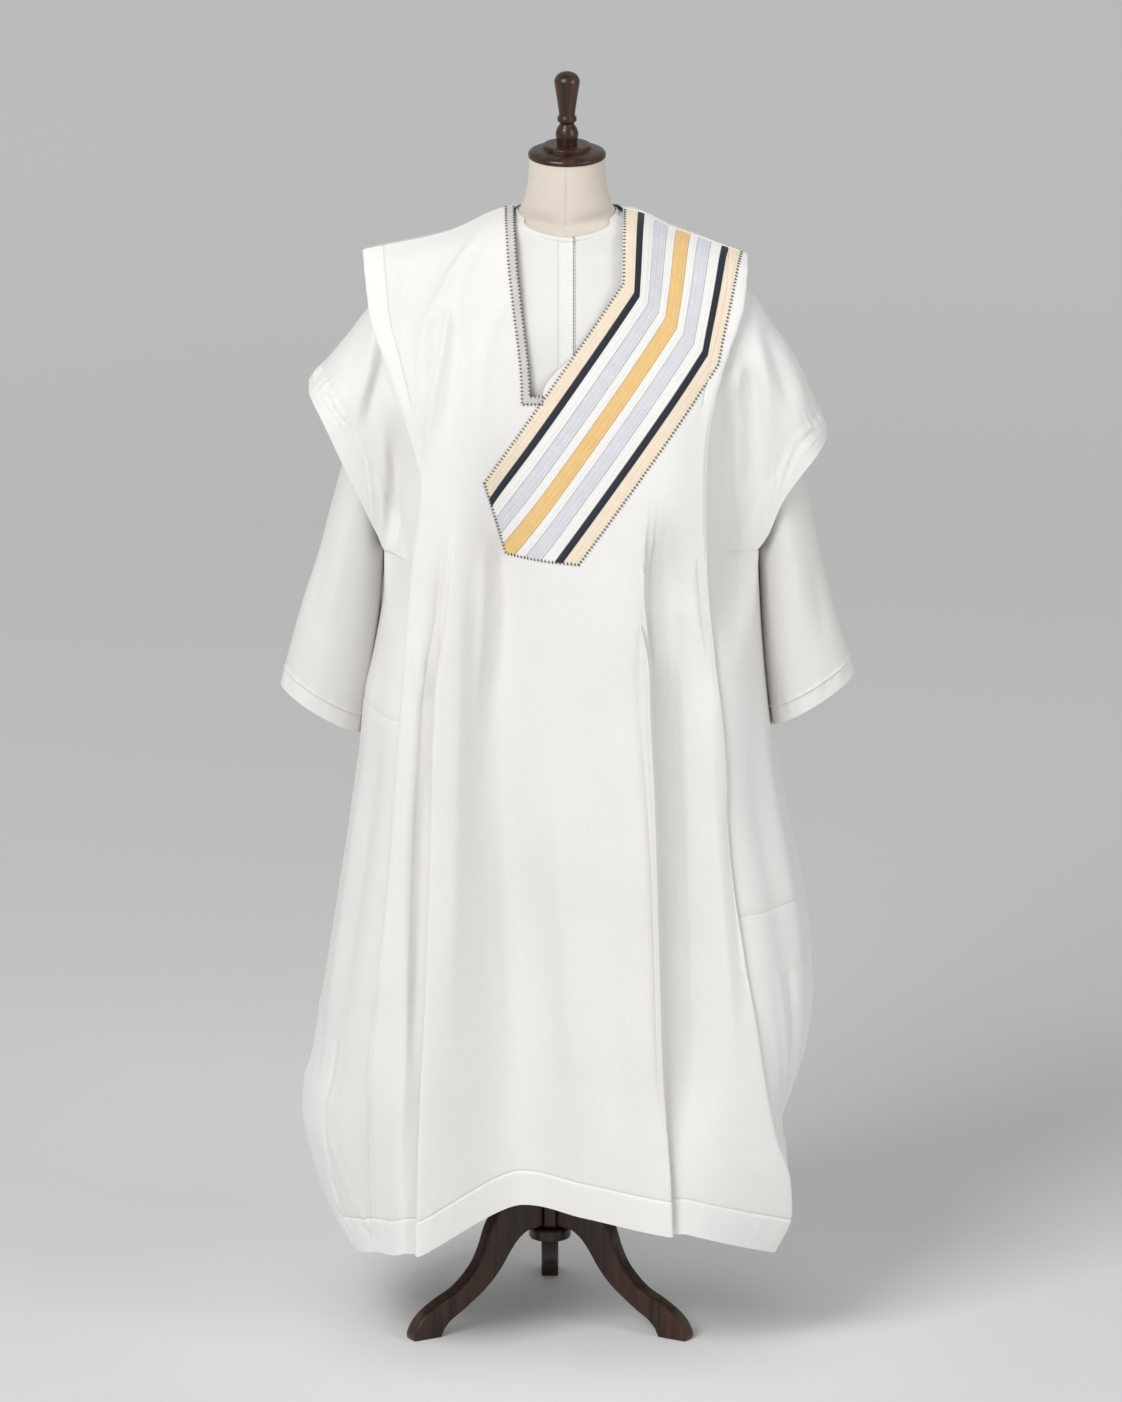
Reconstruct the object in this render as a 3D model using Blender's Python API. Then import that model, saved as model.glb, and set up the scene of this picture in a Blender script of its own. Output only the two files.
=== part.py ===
"""A long white layered kaftan robe, worn by a limbless dress form on a turned tripod stand.

Millimetres in the tables, metres in the meshes, +Z up, and the front of the robe faces -Y.
Every panel is a grid: threads run down the cloth, rows run across it.
"""
import math

import bpy
import numpy as np
from mathutils import Vector
from mathutils.bvhtree import BVHTree

MM = 0.001
WALL = 2.0            # cloth with its hems and the air in its folds
THIN_WALL = 1.1       # the tunic's yoke and the ribbons
SEAM_GAP = 0.15       # half of the gap between two pieces that are sewn together
RIBBON_LIFT = 0.5     # a ribbon's inner face above the panel that it lies on

# Threads of the robe's front, each from the shoulder to the hem: height, across, depth
FRONT_THREADS = {
    "left edge": [
        (1564, -283, 0), (1550, -282, -18), (1523, -279, -42), (1481, -273, -70),
        (1430, -255, -93), (1366, -234, -112), (1302, -213, -126), (1258, -204, -136),
        (1134, -217, -150), (955, -230, -165), (812, -241, -175), (669, -252, -185),
        (522, -267, -192), (377, -276, -190), (147, -270, -165)],
    "left fold": [
        (1589, -170, 0), (1575, -170, -32), (1540, -168, -62), (1480, -165, -96),
        (1380, -160, -127), (1216, -163, -152), (1131, -171, -165), (960, -182, -180),
        (767, -190, -192), (521, -199, -212), (315, -206, -230), (163, -209, -240)],
    "neck left": [
        (1624, -74, 0), (1616, -74, -32), (1600, -73, -56), (1560, -70, -80),
        (1517, -65, -97), (1385, -52, -123), (1216, -80, -140), (960, -92, -152),
        (690, -85, -157), (420, -75, -158), (212, -62, -152)],
    "neck right": [
        (1623, 78, 0), (1615, 78, -32), (1600, 78, -56), (1534, 76, -88),
        (1455, 21, -110), (1385, -34, -123), (1216, -8, -145), (960, 5, -165),
        (690, 10, -180), (420, 18, -190), (203, 26, -190)],
    "right fold": [
        (1597, 150, 0), (1582, 150, -32), (1540, 148, -64), (1480, 142, -94),
        (1380, 134, -128), (1218, 126, -158), (1105, 122, -175), (960, 123, -185),
        (822, 129, -192), (631, 134, -205), (413, 140, -225), (193, 146, -245)],
    "right edge": [
        (1558, 250, 0), (1547, 250, -24), (1505, 246, -62), (1419, 217, -102),
        (1379, 206, -114), (1293, 194, -128), (1246, 193, -135), (1148, 196, -147),
        (901, 218, -162), (733, 230, -172), (568, 252, -182), (401, 276, -187),
        (316, 292, -182), (251, 312, -174), (205, 314, -168), (144, 290, -160)],
}
# Threads of the robe's back, which hangs from the same shoulder line
BACK_THREADS = {
    "left edge": [
        (1564, -283, 0), (1550, -282, 18), (1523, -279, 42), (1481, -272, 70),
        (1430, -254, 93), (1366, -233, 112), (1302, -214, 126), (1258, -206, 136),
        (1134, -218, 150), (955, -230, 162), (812, -241, 170), (669, -252, 178),
        (522, -266, 184), (377, -275, 182), (147, -270, 160)],
    "left fold": [
        (1589, -170, 0), (1575, -170, 32), (1540, -168, 62), (1480, -162, 98),
        (1380, -156, 128), (1216, -152, 150), (960, -160, 170), (700, -170, 192),
        (430, -178, 218), (168, -184, 245)],
    "neck left": [
        (1624, -74, 0), (1618, -66, 36), (1604, -52, 74), (1540, -50, 104),
        (1400, -48, 128), (1216, -46, 142), (960, -40, 154), (700, -34, 158),
        (430, -30, 156), (205, -26, 158)],
    "neck right": [
        (1623, 78, 0), (1617, 70, 36), (1604, 54, 74), (1540, 52, 104),
        (1400, 50, 130), (1216, 50, 146), (960, 56, 164), (700, 62, 178),
        (430, 66, 190), (196, 68, 198)],
    "right fold": [
        (1597, 150, 0), (1582, 150, 32), (1540, 148, 64), (1480, 146, 96),
        (1380, 144, 126), (1216, 142, 146), (960, 150, 160), (700, 158, 172),
        (430, 168, 184), (190, 176, 194)],
    "right edge": [
        (1558, 250, 0), (1547, 250, 24), (1505, 246, 62), (1419, 218, 102),
        (1379, 208, 114), (1293, 196, 128), (1246, 194, 135), (1148, 197, 147),
        (901, 218, 160), (733, 230, 168), (568, 250, 176), (401, 272, 180),
        (316, 286, 176), (251, 300, 170), (205, 302, 164), (144, 286, 158)],
}
# Rows that cross the body below the foot of the neck opening, at these heights
NECK_FOOT = 1385
LEVELS = [1374, 1310, 1230, 1142, 1070, 1000, 920, 820, 730, 640, 540, 440, 340]
SHOULDER_ROWS = 9
SHOULDER_CROWD = 1.5      # rows crowd towards the shoulder line
HEM_ROWS = 2

# Pressed pleats: the height where one starts, where its step is whole, where it overlaps
PLEATS = {
    "left fold": (1230, 1090, 960),
    "right fold": (1270, 1120, 980),
}
# Across a folded pleat, from the cloth that goes under to the cloth on top: across, depth
PLEAT_STEPS = [(-20, 15), (13, 15), (18, 12.5), (14, 10), (2, 8), (-1.5, 4), (2, 0)]
# An open pleat's reach each way, as a share of the cloth beside it, at the back (1) and front (-1)
PLEAT_OPEN = {1: 0.05, -1: 0.14}
# A turned edge, from the end of the cloth under it to the cloth on top: across, depth
TURNED_EDGE = [(14, 8), (2, 8), (-1.5, 4), (2, 0)]
TURN_ROWS = 5         # over these rows the turned edge swings from under the shoulder to behind

# The side's outer line at depth 0: height, across
SIDE_LINE = {
    -1: [(1142, -257), (1084, -258), (993, -270), (920, -283), (854, -287), (751, -301), (685, -311),
         (576, -328), (466, -346), (400, -357), (349, -370), (305, -372), (268, -365), (209, -349),
         (144, -322), (118, -304)],
    1: [(1113, 268), (1096, 269), (952, 280), (822, 295), (737, 311), (625, 332), (554, 340),
        (488, 343), (444, 340), (401, 332), (349, 314), (305, 296), (250, 286), (200, 280), (150, 272)],
}
SLIT_TOP = {-1: 440, 1: 540}
CROSS_SEAM = {-1: 920, 1: 640}
SIDE_TOP = 1142
SIDE_HALF = 8         # lines from the front's edge to the side's middle
SLIT_HALF = 6
SIDE_BULGE = 12       # least reach past the robe's edge
UNDER_EDGE = 0.4      # from the robe's turned edge to the side's cloth under it
EDGE_INSET = 2        # how far the side's cloth reaches further in than the turned edge
TIER_SHARE = 0.625    # the share of the side's lines that run flat across, as the tier's do
SIDE_EASE = 150       # drop over which the side's plan turns from the tier's to a half oval

# The second tier over the arm: across, ridge height, hem height
TIER = {
    -1: [(-203, 1577.8, 1142), (-240, 1521, 1142), (-254, 1504, 1142), (-265, 1490, 1165), (-297, 1452, 1236),
         (-319, 1423, 1284), (-343, 1392, 1336), (-356, 1374, 1356)],
    1: [(201, 1573, 1142), (245, 1514, 1142), (263, 1493, 1142), (279, 1469, 1161), (301, 1434, 1214),
        (326, 1388, 1253), (347, 1340, 1280), (360, 1308, 1292)],
}
# Depth of the second tier beside the body, by its drop below the shoulder
TIER_INSIDE = [(0, 0), (15, 15), (30, 28), (60, 49), (100, 69), (140, 84), (180, 92), (400, 110)]
# Depth of the second tier at its hem, by height: in front, and at the back, where it hangs fuller
TIER_OUTSIDE = [(1600, 50, 53), (1550, 60, 64), (1500, 66, 71), (1450, 72, 77), (1400, 74, 80), (1300, 74, 79),
                (1245, 72, 75), (1142, 58, 58)]
TIER_ROUND = 95       # drop over which the tier rounds from its ridge to its full depth
TIER_TURN = 56        # how far out from the robe's edge the tier has its full depth
TIER_HALF = 7         # rows from the ridge to each lower edge
TIER_CROWD = 1.7      # rows crowd towards the ridge
EDGE_HOLDS = (1420, 1360)  # between these heights the tier comes to lie along the robe's edge

# The under-sleeve's rings: outer across and height, inner across and height, half depth
UNDER_SLEEVE = {
    -1: [(-198.4, 1545, -198.4, 1400, 40), (-262, 1440, -220, 1320, 50), (-304, 1290, -252, 1205, 53),
         (-340, 1150, -265, 1095, 54), (-371, 1045, -281, 982, 54), (-401, 930, -297, 862, 54)],
    1: [(198.4, 1545, 198.4, 1400, 40), (266, 1430, 222, 1320, 50), (318, 1280, 262, 1200, 53),
        (346, 1160, 277, 1105, 54), (372, 1052, 285, 990, 54), (401, 946, 295, 874, 54)],
}

UNDER_ROWS = 8
UNDER_SEGMENTS = 20

# The form's rings: height, half width, half depth, and the roundness of the plan (2 is an ellipse)
FORM = [
    (1698, 53, 53, 2), (1680, 53.5, 53.5, 2), (1655, 56, 55, 2), (1636, 61, 56, 2), (1615, 73, 56, 1.5),
    (1608, 99, 58, 1.5), (1595, 138, 62, 1.45), (1581, 169, 67, 1.35), (1572, 189, 70, 1.35),
    (1563, 195, 74, 1.4), (1545, 196, 78, 1.5), (1510, 194, 86, 1.7), (1470, 190, 93, 1.85),
    (1430, 184, 98, 2), (1370, 174, 103, 2), (1250, 162, 101, 2), (1120, 154, 96, 2), (980, 169, 107, 2),
    (900, 166, 106, 2), (880, 150, 96, 2)]
FORM_SEGMENTS = 28

# The tunic's yoke round the form: heights at the sides of the neck, its front and its back
NECKLINE_SIDE = 1621
NECKLINE = {-1: 1598, 1: 1612}
YOKE_FOOT = {-1: 1350, 1: 1480}   # in front, it reaches below the robe's neck opening
YOKE_CREASE = 1608                # where the neck's foot meets the shoulder
YOKE_LIFT = 1.3                   # above the form's surface
PLACKET_HALF = 11
PLACKET_GAP = 0.5

# The stand's turned pieces: the axis's place across, and radius and height from the bottom up
POLE_X = -24
TURNED = {
    "cap": (0, [
        (54, 1698.5), (54.5, 1701.5), (53, 1705), (46, 1708.5), (36, 1710.5), (34, 1711.3), (34, 1714.5),
        (31, 1716.5), (14.5, 1717)]),
    "finial": (0, [
        (14.4, 1717.4), (14.4, 1720.5), (15, 1724), (16, 1731), (14, 1739), (10, 1746.5), (13.5, 1751),
        (13.5, 1755), (11.2, 1758.5), (12.5, 1770), (15, 1787), (17.2, 1801), (18, 1807), (16, 1813.5),
        (10, 1819), (4, 1821)]),
    "pole": (POLE_X, [(14, 230), (14, 879.5)]),
    "hub": (POLE_X, [
        (10, 116), (28, 117), (29.5, 120), (29.5, 130), (27, 134), (18, 136), (18, 228), (16, 229.6)]),
}
TURNED_SEGMENTS = 20
# A leg's outline from the pole's axis: radius and height, out along its top and back under it
LEG_OUTLINE = [
    (18.4, 226), (42, 222), (60, 209), (76, 189), (89, 167), (102, 144), (121, 98), (137, 79), (156, 63.5),
    (196, 43), (210, 33), (221, 20), (226.5, 6), (225, 0), (182, 0), (175, 13), (148, 33), (111, 59),
    (82, 90), (70, 108), (59.5, 121.5), (38, 135.5), (18.4, 136.8)]
LEG_THICK = 24
LEGS = {"leg_left": 210, "leg_right": 330, "leg_back": 90}     # degrees from +X

# The diagonal panel of ribbons: the share of its width that each ribbon takes
RIBBONS = [
    ("cream", 1.1), ("navy", 0.55), ("white", 0.9), ("blue_grey", 1.1), ("white", 0.7), ("gold", 1.2),
    ("white", 0.7), ("blue_grey", 1.1), ("white", 0.9), ("navy", 0.55), ("cream", 1.1)]
PANEL_WIDTH = 180
PANEL_TOP = (86, 243)             # across, at the shoulder
PANEL_MITRE = ((84, 1529), (208, 1424))
PANEL_SLANT = (-0.575, -0.818)
PANEL_LENGTH = 338
PANEL_POINT = 62                  # how much further the middle reaches than the sides
PANEL_EYE = (0, 1440)             # depth and height of the line that its upper stations aim at
PANEL_START = math.radians(88)    # the first station's direction from there, above level
TOP_STATIONS = 18                 # from the shoulder to the mitre
RIBBON_STEP = 25                  # between stations below the mitre
RIBBON_WALL = 1.0
RIBBON_CLEAR = 1.5                # the flat spans of the robe bulge between its rows, under the ribbons
RIBBON_GAP = 0.4                  # between two ribbons

# The ribbon round the neck opening
RIBBON_WIDTH = 11
BACK_NECK_ROWS = 3                # rows of the robe's back that its neckline cuts away

# Each finish: colour, roughness, metallic
COLOURS = {
    "white_cloth": ((0.86, 0.85, 0.83), 0.75, 0.0),
    "tunic_cloth": ((0.84, 0.83, 0.80), 0.75, 0.0),
    "linen": ((0.77, 0.71, 0.63), 0.9, 0.0),
    "walnut": ((0.045, 0.018, 0.010), 0.35, 0.0),
    "cream": ((0.80, 0.68, 0.55), 0.7, 0.0),
    "navy": ((0.012, 0.018, 0.05), 0.6, 0.0),
    "white": ((0.86, 0.85, 0.84), 0.6, 0.0),
    "blue_grey": ((0.60, 0.62, 0.66), 0.7, 0.0),
    "gold": ((0.78, 0.55, 0.26), 0.7, 0.0),
    "neck_ribbon": ((0.55, 0.53, 0.50), 0.7, 0.0),
}


def clear_scene():
    for item in list(bpy.data.objects):
        bpy.data.objects.remove(item, do_unlink=True)


def material(name):
    if name in bpy.data.materials:
        return bpy.data.materials[name]
    colour, roughness, metallic = COLOURS[name]
    made = bpy.data.materials.new(name)
    made.use_nodes = True
    shader = made.node_tree.nodes["Principled BSDF"]
    shader.inputs["Base Color"].default_value = (*colour, 1)
    shader.inputs["Roughness"].default_value = roughness
    shader.inputs["Metallic"].default_value = metallic
    return made


def smooth(share):
    share = np.clip(share, 0, 1)
    return share * share * (3 - 2 * share)


def curve(knots, values, at):
    """A smooth curve through the knots that never overshoots them."""
    knots, values, at = np.asarray(knots, float), np.asarray(values, float), np.asarray(at, float)
    if knots[0] > knots[-1]:
        knots, values = knots[::-1], values[::-1]
    step = np.diff(knots)
    rise = np.diff(values) / step
    slope = np.zeros(len(knots))
    slope[0], slope[-1] = rise[0], rise[-1]
    for i in range(1, len(knots) - 1):
        if rise[i - 1] * rise[i] > 0:
            before, after = 2 * step[i] + step[i - 1], step[i] + 2 * step[i - 1]
            slope[i] = (before + after) / (before / rise[i - 1] + after / rise[i])
    at = np.clip(at, knots[0], knots[-1])
    place = np.clip(np.searchsorted(knots, at, side="right") - 1, 0, len(step) - 1)
    share = (at - knots[place]) / step[place]
    h00 = (1 + 2 * share) * (1 - share) ** 2
    h10 = share * (1 - share) ** 2
    h01 = share ** 2 * (3 - 2 * share)
    h11 = share ** 2 * (share - 1)
    return (h00 * values[place] + h10 * step[place] * slope[place]
            + h01 * values[place + 1] + h11 * step[place] * slope[place + 1])


def mesh_object(name, points, faces, finish, smooth_angle=40):
    mesh = bpy.data.meshes.new(name)
    mesh.from_pydata([tuple(p) for p in points], [], faces)
    mesh.shade_smooth()
    mesh.set_sharp_from_angle(angle=math.radians(smooth_angle))
    made = bpy.data.objects.new(name, mesh)
    made.data.materials.append(material(finish))
    bpy.context.collection.objects.link(made)
    return made


def grid_normals(grid):
    across = np.gradient(grid, axis=1)
    down = np.gradient(grid, axis=0)
    normals = np.cross(down, across)
    return normals / np.linalg.norm(normals, axis=2, keepdims=True)


def cloth(name, grid, normals, finish, wall=WALL, lift=0.0, keep=None):
    """Closes a grid of outer points into a wall: outside, inside and rim."""
    rows, columns = grid.shape[:2]
    if keep is None:
        keep = np.ones((rows - 1, columns - 1), bool)
    outside = grid + normals * (lift + (wall if lift else 0))
    inside = outside - normals * wall
    number, points, faces = {}, [], []

    def corner(side, r, c):
        if (side, r, c) not in number:
            number[side, r, c] = len(points)
            points.append((outside if side == 0 else inside)[r, c] * MM)
        return number[side, r, c]

    def kept(r, c):
        return 0 <= r < rows - 1 and 0 <= c < columns - 1 and keep[r, c]

    for r in range(rows - 1):
        for c in range(columns - 1):
            if not keep[r, c]:
                continue
            ring = [(r, c), (r + 1, c), (r + 1, c + 1), (r, c + 1)]
            faces.append([corner(0, *p) for p in ring])
            faces.append([corner(1, *p) for p in (ring[0], *reversed(ring[1:]))])
            beside = [(r, c - 1), (r + 1, c), (r, c + 1), (r - 1, c)]
            for i in range(4):
                if not kept(*beside[i]):
                    a, b = ring[i], ring[(i + 1) % 4]
                    faces.append([corner(0, *b), corner(0, *a), corner(1, *a), corner(1, *b)])
    return mesh_object(name, points, faces, finish)


def turned(name, profile, centre_x, finish):
    """A turned piece from radius and height, bottom to top, closed at both ends."""
    angles = [2 * math.pi * i / TURNED_SEGMENTS for i in range(TURNED_SEGMENTS)]
    rings = [[np.array([centre_x + r * math.sin(a), -r * math.cos(a), z]) for a in angles] for r, z in profile]
    return solid_stack(name, rings, finish)


def dense_thread(rows):
    """A thread as many points along its length: the lengths, and height, across and depth."""
    table = np.array(rows, float)
    length = np.r_[0, np.cumsum(np.linalg.norm(np.diff(table, axis=0), axis=1))]
    fine = np.linspace(0, length[-1], 800)
    return fine, np.stack([curve(length, table[:, k], fine) for k in range(3)], axis=1)


def thread_at(rows, height):
    """Across and depth of a thread at a height."""
    _, dense = dense_thread(rows)
    return np.interp(-height, -dense[:, 0], dense[:, 1]), np.interp(-height, -dense[:, 0], dense[:, 2])


def thread_points(rows):
    """One thread from the shoulder, along its length, then level by level to the hem."""
    fine, dense = dense_thread(rows)
    foot = np.interp(-NECK_FOOT, -dense[:, 0], fine)
    shoulder = foot * np.linspace(0, 1, SHOULDER_ROWS) ** SHOULDER_CROWD
    hem = dense[-1, 0]
    low = [LEVELS[-1] + (hem - LEVELS[-1]) * (i + 1) / HEM_ROWS for i in range(HEM_ROWS)]
    heights = np.array(LEVELS + low, float)
    along = np.r_[shoulder, np.interp(-heights, -dense[:, 0], fine)]
    z, x, y = (np.interp(along, fine, dense[:, k]) for k in range(3))
    z[SHOULDER_ROWS:] = heights
    return np.stack([x, y, z], axis=1)


def spread(left, right, before, after, share):
    """Points between two threads, on a smooth curve through their neighbours too."""
    knots = [-1, 0, 1, 2]
    lines = np.stack([before, left, right, after], axis=0)
    made = np.empty_like(left)
    for k in range(3):
        for r in range(len(left)):
            made[r, k] = curve(knots, lines[:, r, k], share)
    return made


def pleat_columns(thread, open_lines, following, name, towards, forward):
    """The seven lines of a pressed pleat, which opens flat above its start.

    The cloth under the pleat leans as the cloth on top does, so that the layers stay apart.
    """
    start, stepped, lapped = PLEATS[name]
    height = thread[:, 2]
    step = smooth((start - height) / (start - stepped))
    lap = smooth((stepped - height) / (stepped - lapped))[:, None]
    lean = -forward * (following[:, 1] - thread[:, 1]) / np.abs(following[:, 0] - thread[:, 0])
    columns = []
    for open_line, (folded_at, depth) in zip(open_lines, PLEAT_STEPS):
        folded = thread.copy()
        folded[:, 0] += towards * folded_at
        folded[:, 1] -= forward * np.maximum(lean, 0) * max(folded_at, 0)
        line = open_line * (1 - lap) + folded * lap
        line[:, 1] -= forward * depth * step
        columns.append(line)
    return columns


def edge_columns(thread, towards, forward):
    """A turned edge: the cloth comes round from under itself."""
    columns = []
    out = smooth(np.arange(len(thread)) / TURN_ROWS)
    for across, depth in TURNED_EDGE:
        line = thread.copy()
        line[:, 0] += towards * across
        line[:, 1] -= forward * depth * out
        line[:, 2] -= depth * (1 - out)
        columns.append(line)
    return columns


def body_panel(threads, forward, fills, neck_ribbon):
    """Grid of one whole panel from edge to edge, and the columns of its neck opening."""
    names = list(threads)
    lines = [thread_points(threads[n]) for n in names]
    columns, mark = [], {}

    def between(i, share):
        before = lines[i - 1] if i else lines[i] * 2 - lines[i + 1]
        after = lines[i + 2] if i + 2 < len(lines) else lines[i + 1] * 2 - lines[i]
        return spread(lines[i], lines[i + 1], before, after, share)

    def fill(i, count):
        for k in range(1, count):
            columns.append(between(i, k / count))

    def fill_beside_pleat(i, count, pleat_end, pleat_first):
        """Fills from a pleat's hidden end to the next thread, evenly whatever the pleat takes up."""
        open_end = PLEAT_OPEN[forward] if pleat_first else 1 - PLEAT_OPEN[forward]
        far_end = 1 if pleat_first else 0
        moved = pleat_end - between(i, open_end)
        made = [between(i, far_end + (open_end - far_end) * k / count) + moved * (k / count) ** 2
                for k in range(1, count)]
        columns.extend(made[::-1] if pleat_first else made)

    def pleat(i, name, towards, following):
        shares = np.linspace(-1, 1, len(PLEAT_STEPS)) * PLEAT_OPEN[forward] * towards
        opened = [between(i, s) if s > 0 else between(i - 1, 1 + s) for s in shares]
        return pleat_columns(lines[i], opened, following, name, towards, forward)

    edge_fill, chest_fill, neck_fill, side_fill = fills
    left_pleat = pleat(1, "left fold", 1, between(1, 1 / chest_fill))
    right_pleat = pleat(4, "right fold", -1, between(3, 1 - 1 / side_fill))
    columns += edge_columns(lines[0], 1, forward)
    fill_beside_pleat(0, edge_fill, left_pleat[0], False)
    columns += left_pleat
    fill(1, chest_fill)
    if neck_ribbon:
        outer = lines[2].copy()
        outer[:, 0] -= RIBBON_WIDTH
        columns.append(outer)
    mark["neck left"] = len(columns)
    columns.append(lines[2])
    fill(2, neck_fill)
    mark["neck right"] = len(columns)
    columns.append(lines[3])
    fill(3, side_fill)
    columns += right_pleat[::-1]
    fill_beside_pleat(4, edge_fill, right_pleat[0], True)
    columns += edge_columns(lines[5], -1, forward)[::-1]
    grid = np.stack(columns, axis=1)
    return grid, mark


def clean_edges(normals, rows=(), columns=(), axis=1):
    """At a seam both walls end square: their normals lie in the seam's plane."""
    for row in rows:
        normals[row, :, axis] = 0
    for column in columns:
        normals[:, column, axis] = 0
    normals /= np.linalg.norm(normals, axis=2, keepdims=True)


def robe_front():
    grid, mark = body_panel(FRONT_THREADS, -1, (3, 4, 3, 4), True)
    normals = grid_normals(grid)
    clean_edges(normals, rows=(0,))
    grid[0, :, 1] -= SEAM_GAP
    keep = np.ones((grid.shape[0] - 1, grid.shape[1] - 1), bool)
    keep[:SHOULDER_ROWS - 1, mark["neck left"]:mark["neck right"]] = False
    panel = cloth("robe_front", grid, normals, "white_cloth", keep=keep)
    ribbon = np.zeros_like(keep)
    ribbon[:SHOULDER_ROWS, mark["neck left"] - 1] = True
    ribbon[SHOULDER_ROWS - 1, mark["neck left"] - 1:mark["neck right"]] = True
    cloth("neck_ribbon", grid, normals, "neck_ribbon", THIN_WALL, RIBBON_LIFT, ribbon)
    return panel


def robe_back():
    grid, mark = body_panel(BACK_THREADS, 1, (2, 3, 3, 3), False)
    grid = grid[:, ::-1]
    normals = grid_normals(grid)
    clean_edges(normals, rows=(0,))
    grid[0, :, 1] += SEAM_GAP
    last = grid.shape[1] - 1
    keep = np.ones((grid.shape[0] - 1, last), bool)
    keep[:BACK_NECK_ROWS, last - mark["neck right"]:last - mark["neck left"]] = False
    cloth("robe_back", grid, normals, "white_cloth", keep=keep)


def table_at(table, column, at):
    rows = np.array(table, float)
    return curve(rows[:, 0], rows[:, column], at)


def under_edge(side, height, threads=FRONT_THREADS):
    """Across and depth of the line where the side's cloth ends, hidden under the robe's edge."""
    across, depth = thread_at(threads["left edge" if side < 0 else "right edge"], height)
    return side * across - TURNED_EDGE[0][0] - EDGE_INSET, np.abs(depth) - TURNED_EDGE[0][1] - UNDER_EDGE


def tier_inside(side, height):
    """Where the second tier ends beside the body, outward and deep."""
    held_out, held_deep = under_edge(side, height)
    high, low = EDGE_HOLDS
    hold = smooth((high - height) / (high - low))
    free_out = abs(TIER[side][0][0])
    return (free_out + (held_out - free_out) * hold,
            table_at(TIER_INSIDE, 1, TIER[side][0][1] - height) * (1 - hold) + held_deep * hold)


def tier_depth(side, outward, height, turn):
    """Depth of the second tier: it rounds over its ridge, and turns in beside the body."""
    inner_out, inner_deep = tier_inside(side, height)
    ridge = table_at(sorted((abs(x), z) for x, z, _ in TIER[side]), 1, outward)
    drop = np.clip((ridge - height) / TIER_ROUND, 0, 1)
    full = np.where(turn < 0, table_at(TIER_OUTSIDE, 1, height), table_at(TIER_OUTSIDE, 2, height))
    outer_deep = full * np.sqrt(drop * (2 - drop))
    return inner_deep + (outer_deep - inner_deep) * smooth((outward - inner_out) / TIER_TURN)


def tier(side, name):
    stations = sorted((abs(x), ridge, hem) for x, ridge, hem in TIER[side])
    turn = np.linspace(-1, 1, 2 * TIER_HALF + 1)
    rows = []
    for number, (outward, ridge, hem) in enumerate(stations):
        height = ridge - (ridge - hem) * np.abs(turn) ** TIER_CROWD
        out = np.full(len(turn), float(outward))
        if number < 2:
            inner_out, _ = tier_inside(side, height)
            out = inner_out + (stations[2][0] - inner_out) * number / 2
        depth = tier_depth(side, out, height, turn)
        height[[0, -1]] += SEAM_GAP
        rows.append(np.stack([side * out, np.sign(turn) * depth, height], axis=1))
    grid = np.stack(rows, axis=1)[::-side]
    normals = grid_normals(grid)
    clean_edges(normals, rows=(0, -1), axis=2)
    cloth(name, grid, normals, "white_cloth")


def side_section(side, height):
    """Plan of the side at one height, from under the front's edge round to the back's."""
    halves = []
    for threads, face in ((FRONT_THREADS, -1), (BACK_THREADS, 1)):
        end_out, end_deep = under_edge(side, height, threads)
        line = max(abs(table_at(SIDE_LINE[side], 1, height)), end_out + SIDE_BULGE)
        share = np.linspace(0, 1, SIDE_HALF)
        angle = share * math.pi / 2
        round_out = end_out + (line - end_out) * np.sin(angle)
        round_deep = end_deep * np.cos(angle)
        reach = np.minimum(share / TIER_SHARE, 1)
        flat_out = end_out + (line - end_out) * reach
        past = np.maximum(share - TIER_SHARE, 0) / (1 - TIER_SHARE)
        flat_deep = end_deep + (table_at(TIER_OUTSIDE, 1, SIDE_TOP) - end_deep) * smooth(
            (flat_out - end_out) / TIER_TURN)
        flat_deep = flat_deep * (1 - past)
        turn = smooth((SIDE_TOP - height) / SIDE_EASE)
        out = flat_out + (round_out - flat_out) * turn
        deep = np.maximum(flat_deep + (round_deep - flat_deep) * turn, SLIT_HALF)
        halves.append(np.stack([side * out, face * deep, np.full(SIDE_HALF, float(height))], axis=1))
    return np.concatenate([halves[0], halves[1][::-1]])


def side_pieces(side, word):
    seam = CROSS_SEAM[side]
    levels = [z for z in LEVELS if z <= SIDE_TOP]
    hem_heights = (min(r[0] for r in FRONT_THREADS["left edge" if side < 0 else "right edge"]),
                   SIDE_LINE[side][-1][0])
    rows = [side_section(side, z) for z in levels]
    for i in range(HEM_ROWS):
        share = (i + 1) / HEM_ROWS
        heights = levels[-1] + (np.array(hem_heights) - levels[-1]) * share
        row = []
        count = 2 * SIDE_HALF
        for c in range(count):
            out = 1 - abs(2 * c / (count - 1) - 1)
            height = heights[0] + (heights[1] - heights[0]) * out
            row.append(side_section(side, height)[c])
        rows.append(np.stack(row))
    grid = np.stack(rows)
    if side < 0:
        grid = grid[:, ::-1]
    split = levels.index(seam)
    middle = SIDE_HALF - 1
    for name, first, last in ((f"side_panel_{word}", 0, split), (f"side_gore_{word}", split, len(rows) - 1)):
        part = grid[first:last + 1].copy()
        normals = grid_normals(grid)[first:last + 1]
        clean_edges(normals, rows=(0, -1), axis=2)
        part[0, :, 2] -= SEAM_GAP
        part[-1, :, 2] += SEAM_GAP if last == split else 0
        keep = np.ones((part.shape[0] - 1, part.shape[1] - 1), bool)
        for r in range(part.shape[0] - 1):
            if grid[first + r, 0, 2] <= SLIT_TOP[side]:
                keep[r, middle] = False
        cloth(name, part, normals, "white_cloth", keep=keep)


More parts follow.
